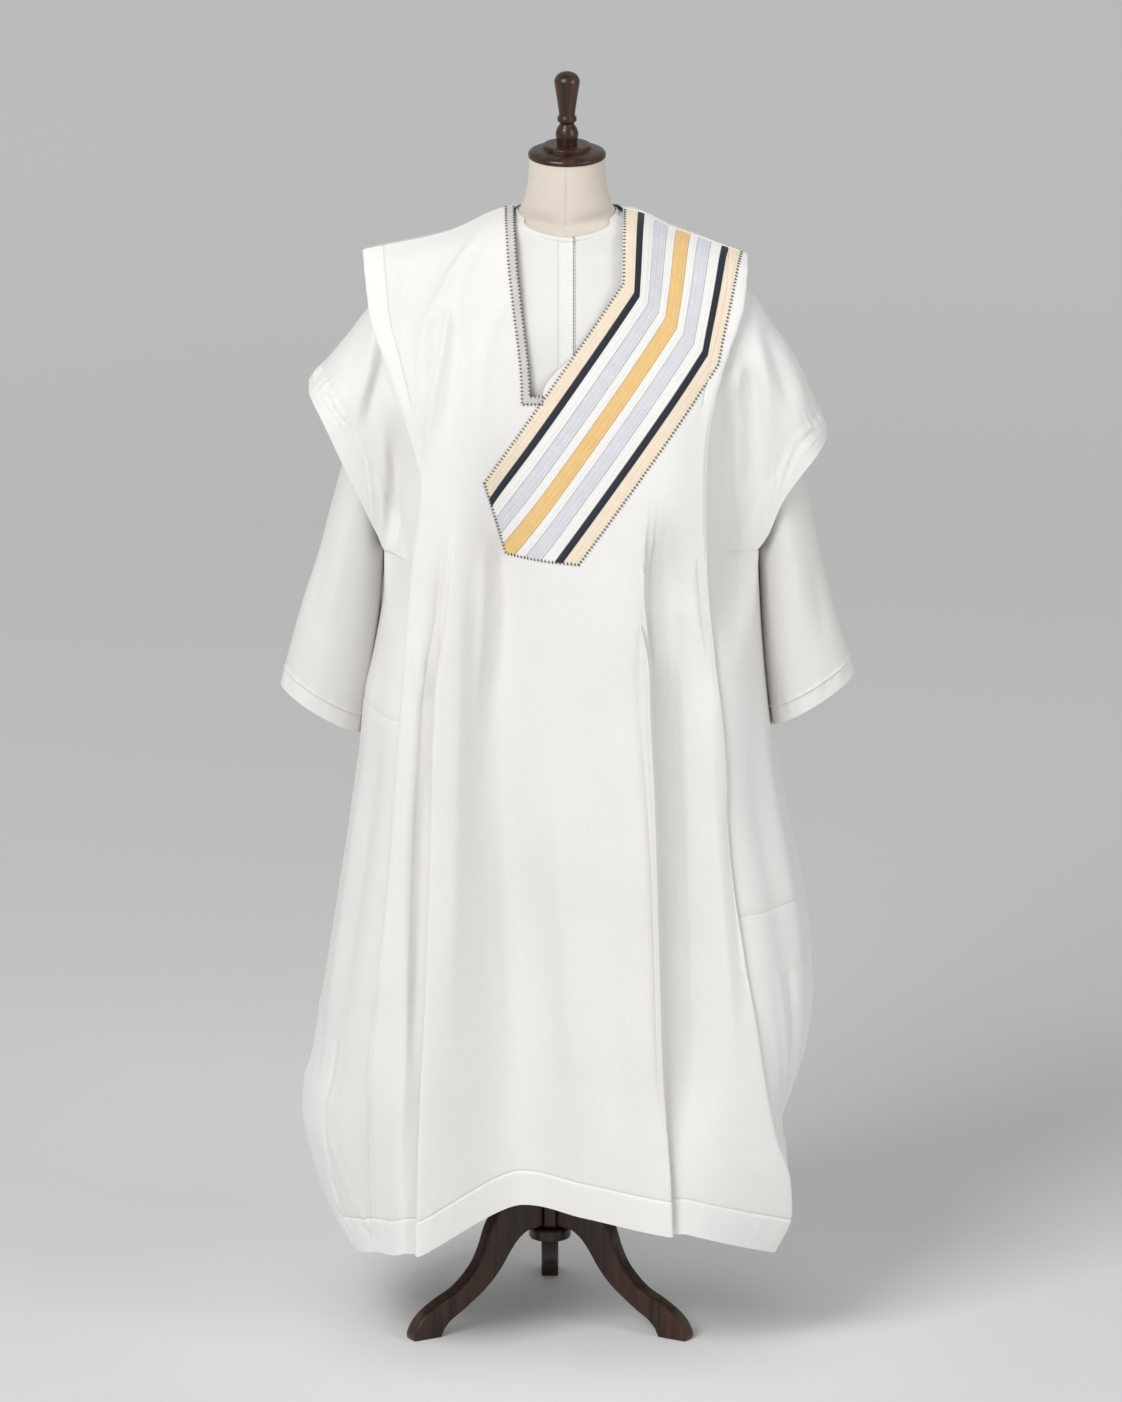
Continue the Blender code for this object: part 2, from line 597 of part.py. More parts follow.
def under_sleeve(side, name):
    table = np.array(UNDER_SLEEVE[side], float)
    at = np.linspace(0, len(table) - 1, UNDER_ROWS)
    knots = np.arange(len(table))
    outer_x, outer_z, inner_x, inner_z, half = (curve(knots, table[:, k], at) for k in range(5))
    angles = np.linspace(0, 2 * math.pi, UNDER_SEGMENTS + 1)[:-1]
    outside, inside = [], []
    for i in range(UNDER_ROWS):
        middle = np.array([(outer_x[i] + inner_x[i]) / 2, 0, (outer_z[i] + inner_z[i]) / 2])
        reach = np.array([(outer_x[i] - inner_x[i]) / 2, 0, (outer_z[i] - inner_z[i]) / 2])
        size = np.linalg.norm(reach)
        for ring, shrink in ((outside, 0), (inside, WALL)):
            scale = (size - shrink) / size
            ring.append([middle + reach * scale * math.cos(a) + np.array([0, (half[i] - shrink) * math.sin(a), 0])
                         for a in angles])
    tube(name, outside, inside, "tunic_cloth", reverse=side > 0)


def tube(name, outside, inside, finish, reverse=False):
    """An open tube between an outer and an inner stack of rings."""
    rows, count = len(outside), len(outside[0])
    points = [p * MM for stack in (outside, inside) for ring in stack for p in ring]
    faces = []

    def number(stack, r, i):
        return stack * rows * count + r * count + i % count

    for i in range(count):
        for r in range(rows - 1):
            faces.append([number(0, r, i), number(0, r, i + 1), number(0, r + 1, i + 1), number(0, r + 1, i)])
            faces.append([number(1, r, i + 1), number(1, r, i), number(1, r + 1, i), number(1, r + 1, i + 1)])
        faces.append([number(0, 0, i + 1), number(0, 0, i), number(1, 0, i), number(1, 0, i + 1)])
        last = rows - 1
        faces.append([number(0, last, i), number(0, last, i + 1), number(1, last, i + 1), number(1, last, i)])
    if reverse:
        faces = [f[::-1] for f in faces]
    return mesh_object(name, points, faces, finish)


def form_point(angle, height):
    """A point of the form at a height, its angle measured from the front towards +X."""
    sizes = np.array(FORM, float)[::-1]
    half_width, half_depth, power = (np.interp(height, sizes[:, 0], sizes[:, k]) for k in (1, 2, 3))
    out, fore = math.sin(angle), math.cos(angle)
    return np.array([half_width * math.copysign(abs(out) ** (2 / power), out),
                     -half_depth * math.copysign(abs(fore) ** (2 / power), fore), height])


def form():
    rings = [[form_point(2 * math.pi * i / FORM_SEGMENTS, row[0]) for i in range(FORM_SEGMENTS)]
             for row in reversed(FORM)]
    solid_stack("form_torso", rings, "linen")


def solid_stack(name, rings, finish):
    """A closed solid through rings from bottom to top, each running from the front towards +X."""
    count = len(rings[0])
    points = [p * MM for ring in rings for p in ring]
    faces = []
    for r in range(len(rings) - 1):
        for i in range(count):
            j = (i + 1) % count
            faces.append([r * count + j, (r + 1) * count + j, (r + 1) * count + i, r * count + i])
    faces.append(list(range(count))[::-1])
    faces.append([(len(rings) - 1) * count + i for i in range(count)])
    return mesh_object(name, points, faces, finish)


def yoke(name, face):
    """The tunic's yoke: the form's own surface, moved out."""
    half = FORM_SEGMENTS // 4
    angles = [math.pi / 2 * (i / half) for i in range(-half, half + 1)]
    if face > 0:
        angles = [a + math.pi for a in angles]
    heights = [row[0] for row in FORM if YOKE_FOOT[face] < row[0] < NECKLINE[-1]] + [YOKE_FOOT[face]]
    columns = []
    for angle in angles:
        front_share = abs(math.cos(angle)) ** 2
        top = NECKLINE_SIDE + (NECKLINE[face] - NECKLINE_SIDE) * front_share
        middle = max(YOKE_CREASE, (top + heights[0]) / 2) if top > YOKE_CREASE else (top + heights[0]) / 2
        between = [top, (top + middle) / 2, middle, (middle + heights[0]) / 2] + heights
        columns.append([form_point(angle, z) for z in between])
    grid = np.stack(columns, axis=1)
    normals = grid_normals(grid)
    clean_edges(normals, columns=(0, -1))
    grid[:, 0, 1] += face * SEAM_GAP
    grid[:, -1, 1] += face * SEAM_GAP
    cloth(name, grid, normals, "tunic_cloth", THIN_WALL, YOKE_LIFT)
    if face < 0:
        keep = np.zeros((grid.shape[0] - 1, grid.shape[1] - 1), bool)
        middle = half
        keep[:, middle - 1:middle + 1] = True
        narrow = grid.copy()
        for beside in (middle - 1, middle + 1):
            share = PLACKET_HALF / np.abs(grid[:, beside, 0:1])
            narrow[:, beside] = grid[:, middle] + (grid[:, beside] - grid[:, middle]) * share
        lift = YOKE_LIFT + THIN_WALL + PLACKET_GAP
        cloth("placket", narrow, normals, "tunic_cloth", THIN_WALL, lift, keep)


def ribbon_panel(panel):
    """The diagonal panel: straight down from the shoulder, then a mitre, then slanting."""
    vertices = [v.co.copy() for v in panel.data.vertices]
    tree = BVHTree.FromPolygons(vertices, [list(p.vertices) for p in panel.data.polygons])
    eye_y, eye_z = PANEL_EYE
    total = sum(width for _, width in RIBBONS)
    slant = np.array(PANEL_SLANT) / np.linalg.norm(PANEL_SLANT)

    def on_panel(x, angle, height):
        """The panel's outer point seen from far off, above the mitre by angle, below it level."""
        if angle is not None:
            direction = Vector((0, math.cos(angle), -math.sin(angle)))
            target = Vector((x, eye_y, eye_z)) * MM
        else:
            direction = Vector((0, 1, 0))
            target = Vector((x, 0, height)) * MM
        hit, normal, _, _ = tree.ray_cast(target - direction * 2, direction)
        return np.array(hit) / MM, np.array(normal)

    start = 0.0
    for number, (finish, width) in enumerate(RIBBONS):
        shares = (start / total, (start + width) / total)
        start += width
        lines = []
        for share, inward in zip(shares, (1, -1)):
            share += inward * RIBBON_GAP / (2 * PANEL_WIDTH)
            top_x = PANEL_TOP[0] + (PANEL_TOP[1] - PANEL_TOP[0]) * share
            mitre = np.array(PANEL_MITRE[0]) + (np.array(PANEL_MITRE[1]) - np.array(PANEL_MITRE[0])) * share
            line = []
            first = None
            hit, normal = on_panel(mitre[0], None, mitre[1])
            mitre_angle = math.atan2(hit[2] - eye_z, eye_y - hit[1])
            for i in range(TOP_STATIONS):
                down = i / TOP_STATIONS
                angle = PANEL_START + (mitre_angle - PANEL_START) * down
                line.append(on_panel(top_x + (mitre[0] - top_x) * down, angle, None))
            line.append((hit, normal))
            reach = PANEL_LENGTH + PANEL_POINT * (1 - abs(2 * share - 1))
            steps = round((PANEL_LENGTH + PANEL_POINT) / RIBBON_STEP)
            for i in range(1, steps + 1):
                place = mitre + slant * reach * i / steps
                line.append(on_panel(place[0], None, place[1]))
            lines.append(line)
        grid = np.stack([[p for p, _ in line] for line in lines], axis=1)
        normals = np.stack([[n for _, n in line] for line in lines], axis=1)
        shared = normals.mean(axis=1, keepdims=True).repeat(2, axis=1)
        shared /= np.linalg.norm(shared, axis=2, keepdims=True)
        cloth(f"panel_ribbon_{number + 1:02d}_{finish}", grid, shared, finish, RIBBON_WALL, RIBBON_CLEAR)


def leg(name, turn):
    """One flat leg, cut from a plank along a swept outline, turned about the pole."""
    points, faces = [], []
    for half in (-LEG_THICK / 2, LEG_THICK / 2):
        for radius, height in LEG_OUTLINE:
            x = radius * math.cos(turn) - half * math.sin(turn)
            y = radius * math.sin(turn) + half * math.cos(turn)
            points.append(((x + POLE_X) * MM, y * MM, height * MM))
    count = len(LEG_OUTLINE)
    faces.append(list(range(count))[::-1])
    faces.append([count + i for i in range(count)])
    for i in range(count):
        j = (i + 1) % count
        faces.append([i, j, count + j, count + i])
    mesh_object(name, points, faces, "walnut", 30)


def main():
    clear_scene()
    front = robe_front()
    robe_back()
    for side, word in ((-1, "left"), (1, "right")):
        tier(side, f"tier_{word}")
        side_pieces(side, word)
        under_sleeve(side, f"under_sleeve_{word}")
    yoke("yoke_front", -1)
    yoke("yoke_back", 1)
    ribbon_panel(front)
    form()
    for name, (centre_x, profile) in TURNED.items():
        turned(name, profile, centre_x, "walnut")
    for name, turn in LEGS.items():
        leg(name, math.radians(turn))


main()
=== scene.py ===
"""The looks of a long white layered kaftan on its dress form.

Millimetres in the tables, metres in the meshes, +Z up; the kaftan's front faces -Y.
The cloth repeats the solids' own threads and sections, sampled finely and creased.
"""
import math

import bmesh
import bpy
import numpy as np
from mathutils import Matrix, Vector
from mathutils.bvhtree import BVHTree


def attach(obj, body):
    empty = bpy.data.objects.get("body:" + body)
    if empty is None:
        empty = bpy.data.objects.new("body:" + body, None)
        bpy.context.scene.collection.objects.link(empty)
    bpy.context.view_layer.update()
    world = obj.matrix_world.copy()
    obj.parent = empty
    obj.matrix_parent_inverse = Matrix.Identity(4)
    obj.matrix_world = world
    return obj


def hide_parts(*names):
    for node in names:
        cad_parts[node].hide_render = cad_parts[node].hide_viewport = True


MM = 0.001
CLOTH = 0.8               # thickness of the woven cotton with its facing
HEM_DEPTH = 50            # the turned hems of the robe
HEM_RISE = 0.5            # the doubled cloth of a hem stands this proud
HEM_STEP = 1.6            # width over which it rises
HEM_FADE = 2              # width over which its fuller colour comes in
SEAM_WIDTH = 1.3          # half width and depth of a sewn line's groove
SEAM_DEPTH = 1.3
PUCKERS = 5               # waves that add up to a hem's puckers, their lengths and their lean
PUCKER_LENGTHS = (14, 46)
PUCKER_LEAN = 60
PUCKER_PLACE = (0.8, 0.45)    # middle and half width of the puckers, as shares of the hem
WAVES = 14                # waves that add up to hung cloth's unevenness
WAVE_LENGTHS = (0.6, 1.8)     # of each wave, as shares of the cloth's own
WAVE_HEIGHTS = (0.3, 1)
WAVE_LEAN = 0.5
WAVE_FALL = 0.35          # waves are longer down the cloth than across it
WAVE_SUM = 3              # height of all the waves together
# Each cloth's own waves, height and length; the height of its hem's puckers; and its seeds
HUNG = {
    "front": (0.9, 190), "back": (1.0, 200), "tier": (0.8, 130), "side": (1.2, 170), "sleeve": (1.1, 120)}
PUCKERED = {"robe": 0.35, "tier": 1.1, "side": 1.5, "sleeve": 1.1}
SEED = {"front": 3, "front hem": 1, "back": 8, "back hem": 5, "tier": 20, "side": 30, "sleeve": 40}
CREASE_POINTS = 24
CREASE_ROUND = 1.7        # how roundly a crease falls off to its sides
LEAST_FADE = 0.01
THREAD_POINTS = 2400
CLOTH_SHARP, TURNED_SHARP, PLANK_SHARP = 55, 40, 32     # degrees past which an edge stays sharp
MERGE = 0.00002           # metres within which a tube's first and last lines are one
LEAST_FACE = 1e-12
LEAST_LENGTH = 1e-9

# Threads of the robe's front, each from the shoulder to the hem: height, across, depth
FRONT_THREADS = {
    "left edge": [
        (1564, -283, 0), (1550, -282, -18), (1523, -279, -42), (1481, -273, -70),
        (1430, -255, -93), (1366, -234, -112), (1302, -213, -126), (1258, -204, -136),
        (1134, -217, -150), (955, -230, -165), (812, -241, -175), (669, -252, -185),
        (522, -267, -192), (377, -276, -190), (147, -270, -165)],
    "left fold": [
        (1589, -170, 0), (1575, -170, -32), (1540, -168, -62), (1480, -165, -96),
        (1380, -160, -127), (1216, -163, -152), (1131, -171, -165), (960, -182, -180),
        (767, -190, -192), (521, -199, -212), (315, -206, -230), (163, -209, -240)],
    "neck left": [
        (1624, -74, 0), (1616, -74, -32), (1600, -73, -56), (1560, -70, -80),
        (1517, -65, -97), (1385, -52, -123), (1216, -80, -140), (960, -92, -152),
        (690, -85, -157), (420, -75, -158), (212, -62, -152)],
    "neck right": [
        (1623, 78, 0), (1615, 78, -32), (1600, 78, -56), (1534, 76, -88),
        (1455, 21, -110), (1385, -34, -123), (1216, -8, -145), (960, 5, -165),
        (690, 10, -180), (420, 18, -190), (203, 26, -190)],
    "right fold": [
        (1597, 150, 0), (1582, 150, -32), (1540, 148, -64), (1480, 142, -94),
        (1380, 134, -128), (1218, 126, -158), (1105, 122, -175), (960, 123, -185),
        (822, 129, -192), (631, 134, -205), (413, 140, -225), (193, 146, -245)],
    "right edge": [
        (1558, 250, 0), (1547, 250, -24), (1505, 246, -62), (1419, 217, -102),
        (1379, 206, -114), (1293, 194, -128), (1246, 193, -135), (1148, 196, -147),
        (901, 218, -162), (733, 230, -172), (568, 252, -182), (401, 276, -187),
        (316, 292, -182), (251, 312, -174), (205, 314, -168), (144, 290, -160)],
}
# Threads of the robe's back, which hangs from the same shoulder line
BACK_THREADS = {
    "left edge": [
        (1564, -283, 0), (1550, -282, 18), (1523, -279, 42), (1481, -272, 70),
        (1430, -254, 93), (1366, -233, 112), (1302, -214, 126), (1258, -206, 136),
        (1134, -218, 150), (955, -230, 162), (812, -241, 170), (669, -252, 178),
        (522, -266, 184), (377, -275, 182), (147, -270, 160)],
    "left fold": [
        (1589, -170, 0), (1575, -170, 32), (1540, -168, 62), (1480, -162, 98),
        (1380, -156, 128), (1216, -152, 150), (960, -160, 170), (700, -170, 192),
        (430, -178, 218), (168, -184, 245)],
    "neck left": [
        (1624, -74, 0), (1618, -66, 36), (1604, -52, 74), (1540, -50, 104),
        (1400, -48, 128), (1216, -46, 142), (960, -40, 154), (700, -34, 158),
        (430, -30, 156), (205, -26, 158)],
    "neck right": [
        (1623, 78, 0), (1617, 70, 36), (1604, 54, 74), (1540, 52, 104),
        (1400, 50, 130), (1216, 50, 146), (960, 56, 164), (700, 62, 178),
        (430, 66, 190), (196, 68, 198)],
    "right fold": [
        (1597, 150, 0), (1582, 150, 32), (1540, 148, 64), (1480, 146, 96),
        (1380, 144, 126), (1216, 142, 146), (960, 150, 160), (700, 158, 172),
        (430, 168, 184), (190, 176, 194)],
    "right edge": [
        (1558, 250, 0), (1547, 250, 24), (1505, 246, 62), (1419, 218, 102),
        (1379, 208, 114), (1293, 196, 128), (1246, 194, 135), (1148, 197, 147),
        (901, 218, 160), (733, 230, 168), (568, 250, 176), (401, 272, 180),
        (316, 286, 176), (251, 300, 170), (205, 302, 164), (144, 286, 158)],
}

# Rows that cross the body: down the shoulder, then level, then at set distances above the hem
NECK_FOOT = 1385
SHOULDER_ROWS = 56
SHOULDER_CROWD = 1.35
LEVEL_TOP, LEVEL_FOOT, LEVEL_STEP = 1378, 340, 7
FALL_ROWS = 20
HEM_ROWS = [56, 53, 51.4, 50.4, 49.8, 49.2, 48.4, 46, 41, 35, 28, 21, 14, 8, 4, 1.5, 0]

# Pressed pleats: the height where one starts, where its step is whole, where it overlaps
PLEATS = {
    "left fold": (1230, 1090, 960),
    "right fold": (1270, 1120, 980),
}
# Across a folded pleat, from the cloth that goes under to the cloth on top: across, depth
PLEAT_STEPS = [(-20, 15), (-4, 15), (10, 15), (17, 14.2), (18.6, 12.6), (17, 11), (12, 10), (5, 8.6),
               (0, 7.4), (-2.2, 5.8), (-2.8, 4), (-2.2, 1.9), (0, 0.4), (2, 0)]
PLEAT_LINES = 27
PLEAT_OPEN = {1: 0.05, -1: 0.14}
PLEAT_NEXT = 0.25         # share of the way to the next thread where the cloth's own lean is taken
# A turned edge, from the end of the cloth under it to the cloth on top: across, depth
TURNED_EDGE = [(14, 8), (8, 8), (2, 8), (-1.2, 6.6), (-2.2, 4), (-1.2, 1.4), (2, 0)]
EDGE_LINES = 11
TURN_REACH = 12           # rows over which the turned edge swings from under the shoulder to behind
# The side's outer line at depth 0: height, across
SIDE_LINE = {
    -1: [(1142, -257), (1084, -258), (993, -270), (920, -283), (854, -287), (751, -301), (685, -311),
         (576, -328), (466, -346), (400, -357), (349, -370), (305, -372), (268, -365), (209, -349),
         (144, -322), (118, -304)],
    1: [(1113, 268), (1096, 269), (952, 280), (822, 295), (737, 311), (625, 332), (554, 340),
        (488, 343), (444, 340), (401, 332), (349, 314), (305, 296), (250, 286), (200, 280), (150, 272)],
}
SLIT_TOP = {-1: 440, 1: 540}
CROSS_SEAM = {-1: 920, 1: 640}
SIDE_TOP = 1142
SIDE_PANEL_STEP, SIDE_GORE_STEP = 9, 8    # spacing of the rows above and below the cross seam
GORE_FALL = 16            # rows between the level ones and the hem's
SLANT_STEPS = 8
SLIT_RUN_OUT = 2          # how fast the slit's hem runs out above it
# The second tier over the arm: across, ridge height, hem height
TIER = {
    -1: [(-203, 1577.8, 1142), (-240, 1521, 1142), (-254, 1504, 1142), (-265, 1490, 1165),
         (-297, 1452, 1236), (-319, 1423, 1284), (-343, 1392, 1336), (-360, 1370, 1362)],
    1: [(201, 1573, 1142), (245, 1514, 1142), (263, 1493, 1142), (279, 1469, 1161), (301, 1434, 1214),
        (326, 1388, 1253), (347, 1340, 1280), (362, 1305, 1297)],
}
# Depth of the second tier beside the body, by its drop below the shoulder
TIER_INSIDE = [(0, 0), (15, 15), (30, 28), (60, 49), (100, 69), (140, 84), (180, 92), (400, 110)]
# Depth of the second tier at its hem, by height: in front, and at the back, where it hangs fuller
TIER_OUTSIDE = [(1600, 50, 53), (1550, 60, 64), (1500, 66, 71), (1450, 72, 77), (1400, 74, 80),
                (1300, 74, 79), (1245, 72, 75), (1142, 58, 58)]
TIER_ROUND = 95       # drop over which the tier rounds from its ridge to its full depth
TIER_TURN = 56        # how far out from the robe's edge the tier has its full depth
TIER_CROWD = 1.7
TIER_STOPS = (26, 52)     # lines beside the body, and from there out to the hem
TIER_BACK_CREASED = 0.8   # the creases are this much softer at the back
EDGE_HOLDS = (1420, 1360)

# The under-sleeve's rings: outer across and height, inner across and height, half depth
UNDER_SLEEVE = {
    -1: [(-198.4, 1545, -198.4, 1400, 40), (-262, 1440, -220, 1320, 50), (-304, 1290, -248, 1205, 53),
         (-340, 1150, -256, 1095, 54), (-371, 1045, -269, 982, 54), (-401, 930, -286, 862, 54)],
    1: [(198.4, 1545, 198.4, 1400, 40), (266, 1430, 222, 1320, 50), (318, 1280, 258, 1200, 53),
        (346, 1160, 268, 1105, 54), (372, 1052, 274, 990, 54), (401, 946, 286, 874, 54)],
}

# The form's rings: height, half width, half depth, and the roundness of the plan (2 is an ellipse)
FORM = [
    (1698, 53, 53, 2), (1680, 53.5, 53.5, 2), (1655, 56, 55, 2), (1636, 61, 56, 2), (1615, 73, 56, 1.5),
    (1608, 99, 58, 1.5), (1595, 138, 62, 1.45), (1581, 169, 67, 1.35), (1572, 189, 70, 1.35),
    (1563, 195, 74, 1.4), (1545, 196, 78, 1.5), (1510, 194, 86, 1.7), (1470, 190, 93, 1.85),
    (1430, 184, 98, 2), (1370, 174, 103, 2), (1250, 162, 101, 2), (1120, 154, 96, 2), (980, 169, 107, 2),
    (900, 166, 106, 2), (880, 150, 96, 2)]
# Shares of the way round from under the robe's edge to the slit, crowded at the slit hem's seam
SIDE_SHARES = np.r_[np.linspace(0, 0.46, 17), 0.478, 0.49, 0.5, 0.51, 0.522, 0.54, 0.565, 0.60, 0.64,
                    0.68, 0.73, 0.78, 0.83, 0.87, 0.91, 0.94, 0.97, 1]
SIDE_LINES = len(SIDE_SHARES)
SLIT_SEAM = 0.5           # the share at which the slit hem's seam runs
SLIT_HALF = 6             # half of the slit's opening
SIDE_BULGE = 12           # least reach of the side past the robe's edge
UNDER_EDGE = 0.4
EDGE_INSET = 2
TIER_SHARE = 0.625
SIDE_EASE = 150
SEAM_GAP = 0.15
SEAM_SUNK = 1.2

TIER_LINES = 44
TIER_HEM = 36
CUFF_HEM = 26
SLEEVE_LINES = 96
SLEEVE_ROWS = 110
SLEEVE_SETTLE = 12        # rows over which its waves come in
FORM_LINES = 96
FORM_STEP = 0.5
FORM_ROWS = [(1698, 1636, 18), (1632, 1560, 30), (1553, 884, 84)]     # from, to and how many
FORM_FOOT = [882, 880.6, 880]
FORM_FOOT_ROUND = 0.992
FORM_SEAM_SHARP = 160
FORM_SEAM_DEPTH = 0.5
# The hem along the shoulder's outer edge: how far towards the fold the cloth's lines lie, which line
# its seam follows, and the heights between which it runs out below
EDGE_SHARES = [0.04, 0.1, 0.17, 0.22, 0.25, 0.263, 0.275, 0.287, 0.3, 0.33, 0.37, 0.42, 0.47, 0.52, 0.57,
               0.62, 0.67, 0.72, 0.77, 0.82, 0.87, 0.92, 0.96]
CAP_SEAM = 6
CAP_HEM_ENDS = (1390, 1340)
CAP_SEAM_RISE = ((-1, 0.0), (0, -1.7), (1, -0.5))     # the lines at the seam, and how each lies
CAP_PULL = 0.35           # height and two lengths of the slight waves along that hem
CAP_PULL_LENGTHS = (31, 47)

# The tunic's yoke
NECKLINE_SIDE = 1621
NECKLINE = {-1: 1598, 1: 1612}
YOKE_FOOT = {-1: 1350, 1: 1480}
YOKE_LIFT = 1.3
YOKE_CLOTH = 0.8
TUNIC_EASE = 10
NECK_BINDING = 7
PLACKET_HALF = 11
PLACKET_GAP = 0.5
# How proud each line across the placket stands, and the line of its slit
PLACKET_RISE = [0.5, 0.5, 0, 0, 0, 0, 0, 0, 0, 0.2, 0.5, 0.8, 0.8, -0.4, 0.3]
PLACKET_SLIT = 13
PLACKET_REACH = 12        # lines of the yoke each side that the strip may lie over
PLACKET_CLOTH = 0.5
YOKE_LINES = 60
YOKE_SHARES = np.r_[0, 0.004, 0.01, np.linspace(0.022, 0.05, 8)[:-1], np.linspace(0.05, 1, 66)]
EASE_TOP, EASE_DROP = 1585, 120       # where the tunic starts to stand off the form, and over how far
BINDING_RISE, BINDING_SUNK, BINDING_EDGE, BINDING_FADE = 0.6, 0.9, 1.2, 1.5

# The diagonal panel of ribbons: the share of its width that each ribbon takes
RIBBONS = [
    ("cream", 1.1), ("navy", 0.55), ("white", 0.9), ("blue_grey", 1.1), ("white", 0.7), ("gold", 1.2),
    ("white", 0.7), ("blue_grey", 1.1), ("white", 0.9), ("navy", 0.55), ("cream", 1.1)]
RIBS = {"cream": 3, "navy": 2, "white": 2, "blue_grey": 3, "gold": 3}
PANEL_WIDTH = 180
PANEL_TOP = (81, 243)
PANEL_MITRE = ((79, 1539), (211, 1426))
PANEL_SLANT = (-0.575, -0.818)
PANEL_LENGTH = 338
PANEL_POINT = 62
PANEL_EYE = (0, 1440)
PANEL_EYE_FAR = 2         # metres
PANEL_START = math.radians(88)
TOP_STATIONS = 48
RIBBON_STEP = 8
RIBBON_WALL = 1.0
RIBBON_LIFT = 0.5
RIBBON_GAP = 0.4
RIBBON_WIDTH = 11
WHIP_PITCH = 5.2          # spacing of the dark stitches over the ribbons' edges
NECK_WHIP, PANEL_WHIP = (4.8, 1.6), (5.6, 1.7)     # length and thickness of those stitches
NECK_WHIP_LIFT, PANEL_WHIP_LIFT = 1.5, 1.4
SLIT_STITCH_AND_SHADOW = (5.0, 5.4, 1.5)         # spacing, length and thickness of the placket's dark stitches, which also paint the slit's shadow line
SLIT_STITCH_LIFT = 0.15
PANEL_FOOT_POINTS = 45
RIB_RISE = 0.16
RIB_LINES = 6
RIBBON_CLOTH = 0.6
RIBBON_EDGE = (1.1, 0.45)     # width over which a ribbon rounds, and the share of its wall at the edge
NECK_EDGE = (1.4, 0.4)
NECK_RIBS = 3
NECK_LINES = 9

# The stand's turned pieces: the axis's place across, and radius and height from the bottom up
POLE_X = -24
TURNED = {
    "cap": (0, [
        (54, 1698.5), (54.5, 1701.5), (53, 1705), (46, 1708.5), (36, 1710.5), (34, 1711.3), (34, 1714.5),
        (31, 1716.5), (14.5, 1717)]),
    "finial": (0, [
        (14.4, 1717.4), (14.4, 1720.5), (15, 1724), (16, 1731), (14, 1739), (10, 1746.5), (13.5, 1751),
        (13.5, 1755), (11.2, 1758.5), (12.5, 1770), (15, 1787), (17.2, 1801), (18, 1807), (16, 1813.5),
        (10, 1819), (4, 1821)]),
    "pole": (POLE_X, [(14, 230), (14, 879.5)]),
    "hub": (POLE_X, [
        (10, 116), (28, 117), (29.5, 120), (29.5, 130), (27, 134), (18, 136), (18, 228), (16, 229.6)]),
}
TURNED_LINES = 64
PROFILE_POINTS = 90
# A leg's outline from the pole's axis: radius and height, out along its top and back under it
LEG_OUTLINE = [
    (18.4, 226), (42, 222), (60, 209), (76, 189), (89, 167), (102, 144), (110, 121), (121, 98), (137, 79),
    (156, 63.5), (178, 53), (196, 43), (210, 33), (221, 20), (226.5, 6), (225, 0), (182, 0), (175, 13),
    (166, 22), (148, 33), (130, 45), (111, 59), (95, 74), (82, 90), (70, 108), (59.5, 121.5), (48, 131),
    (38, 135.5), (18.4, 136.8)]
LEG_THICK = 24
LEG_SPANS = [(0, 15, 4), (15, 16, 1), (16, 28, 4)]     # the top, the foot and the underside
LEG_BEVEL = 3
LEG_BEVEL_ROUND = 0.6
LEGS = {"leg_left": 210, "leg_right": 330, "leg_back": 90}     # degrees from +X

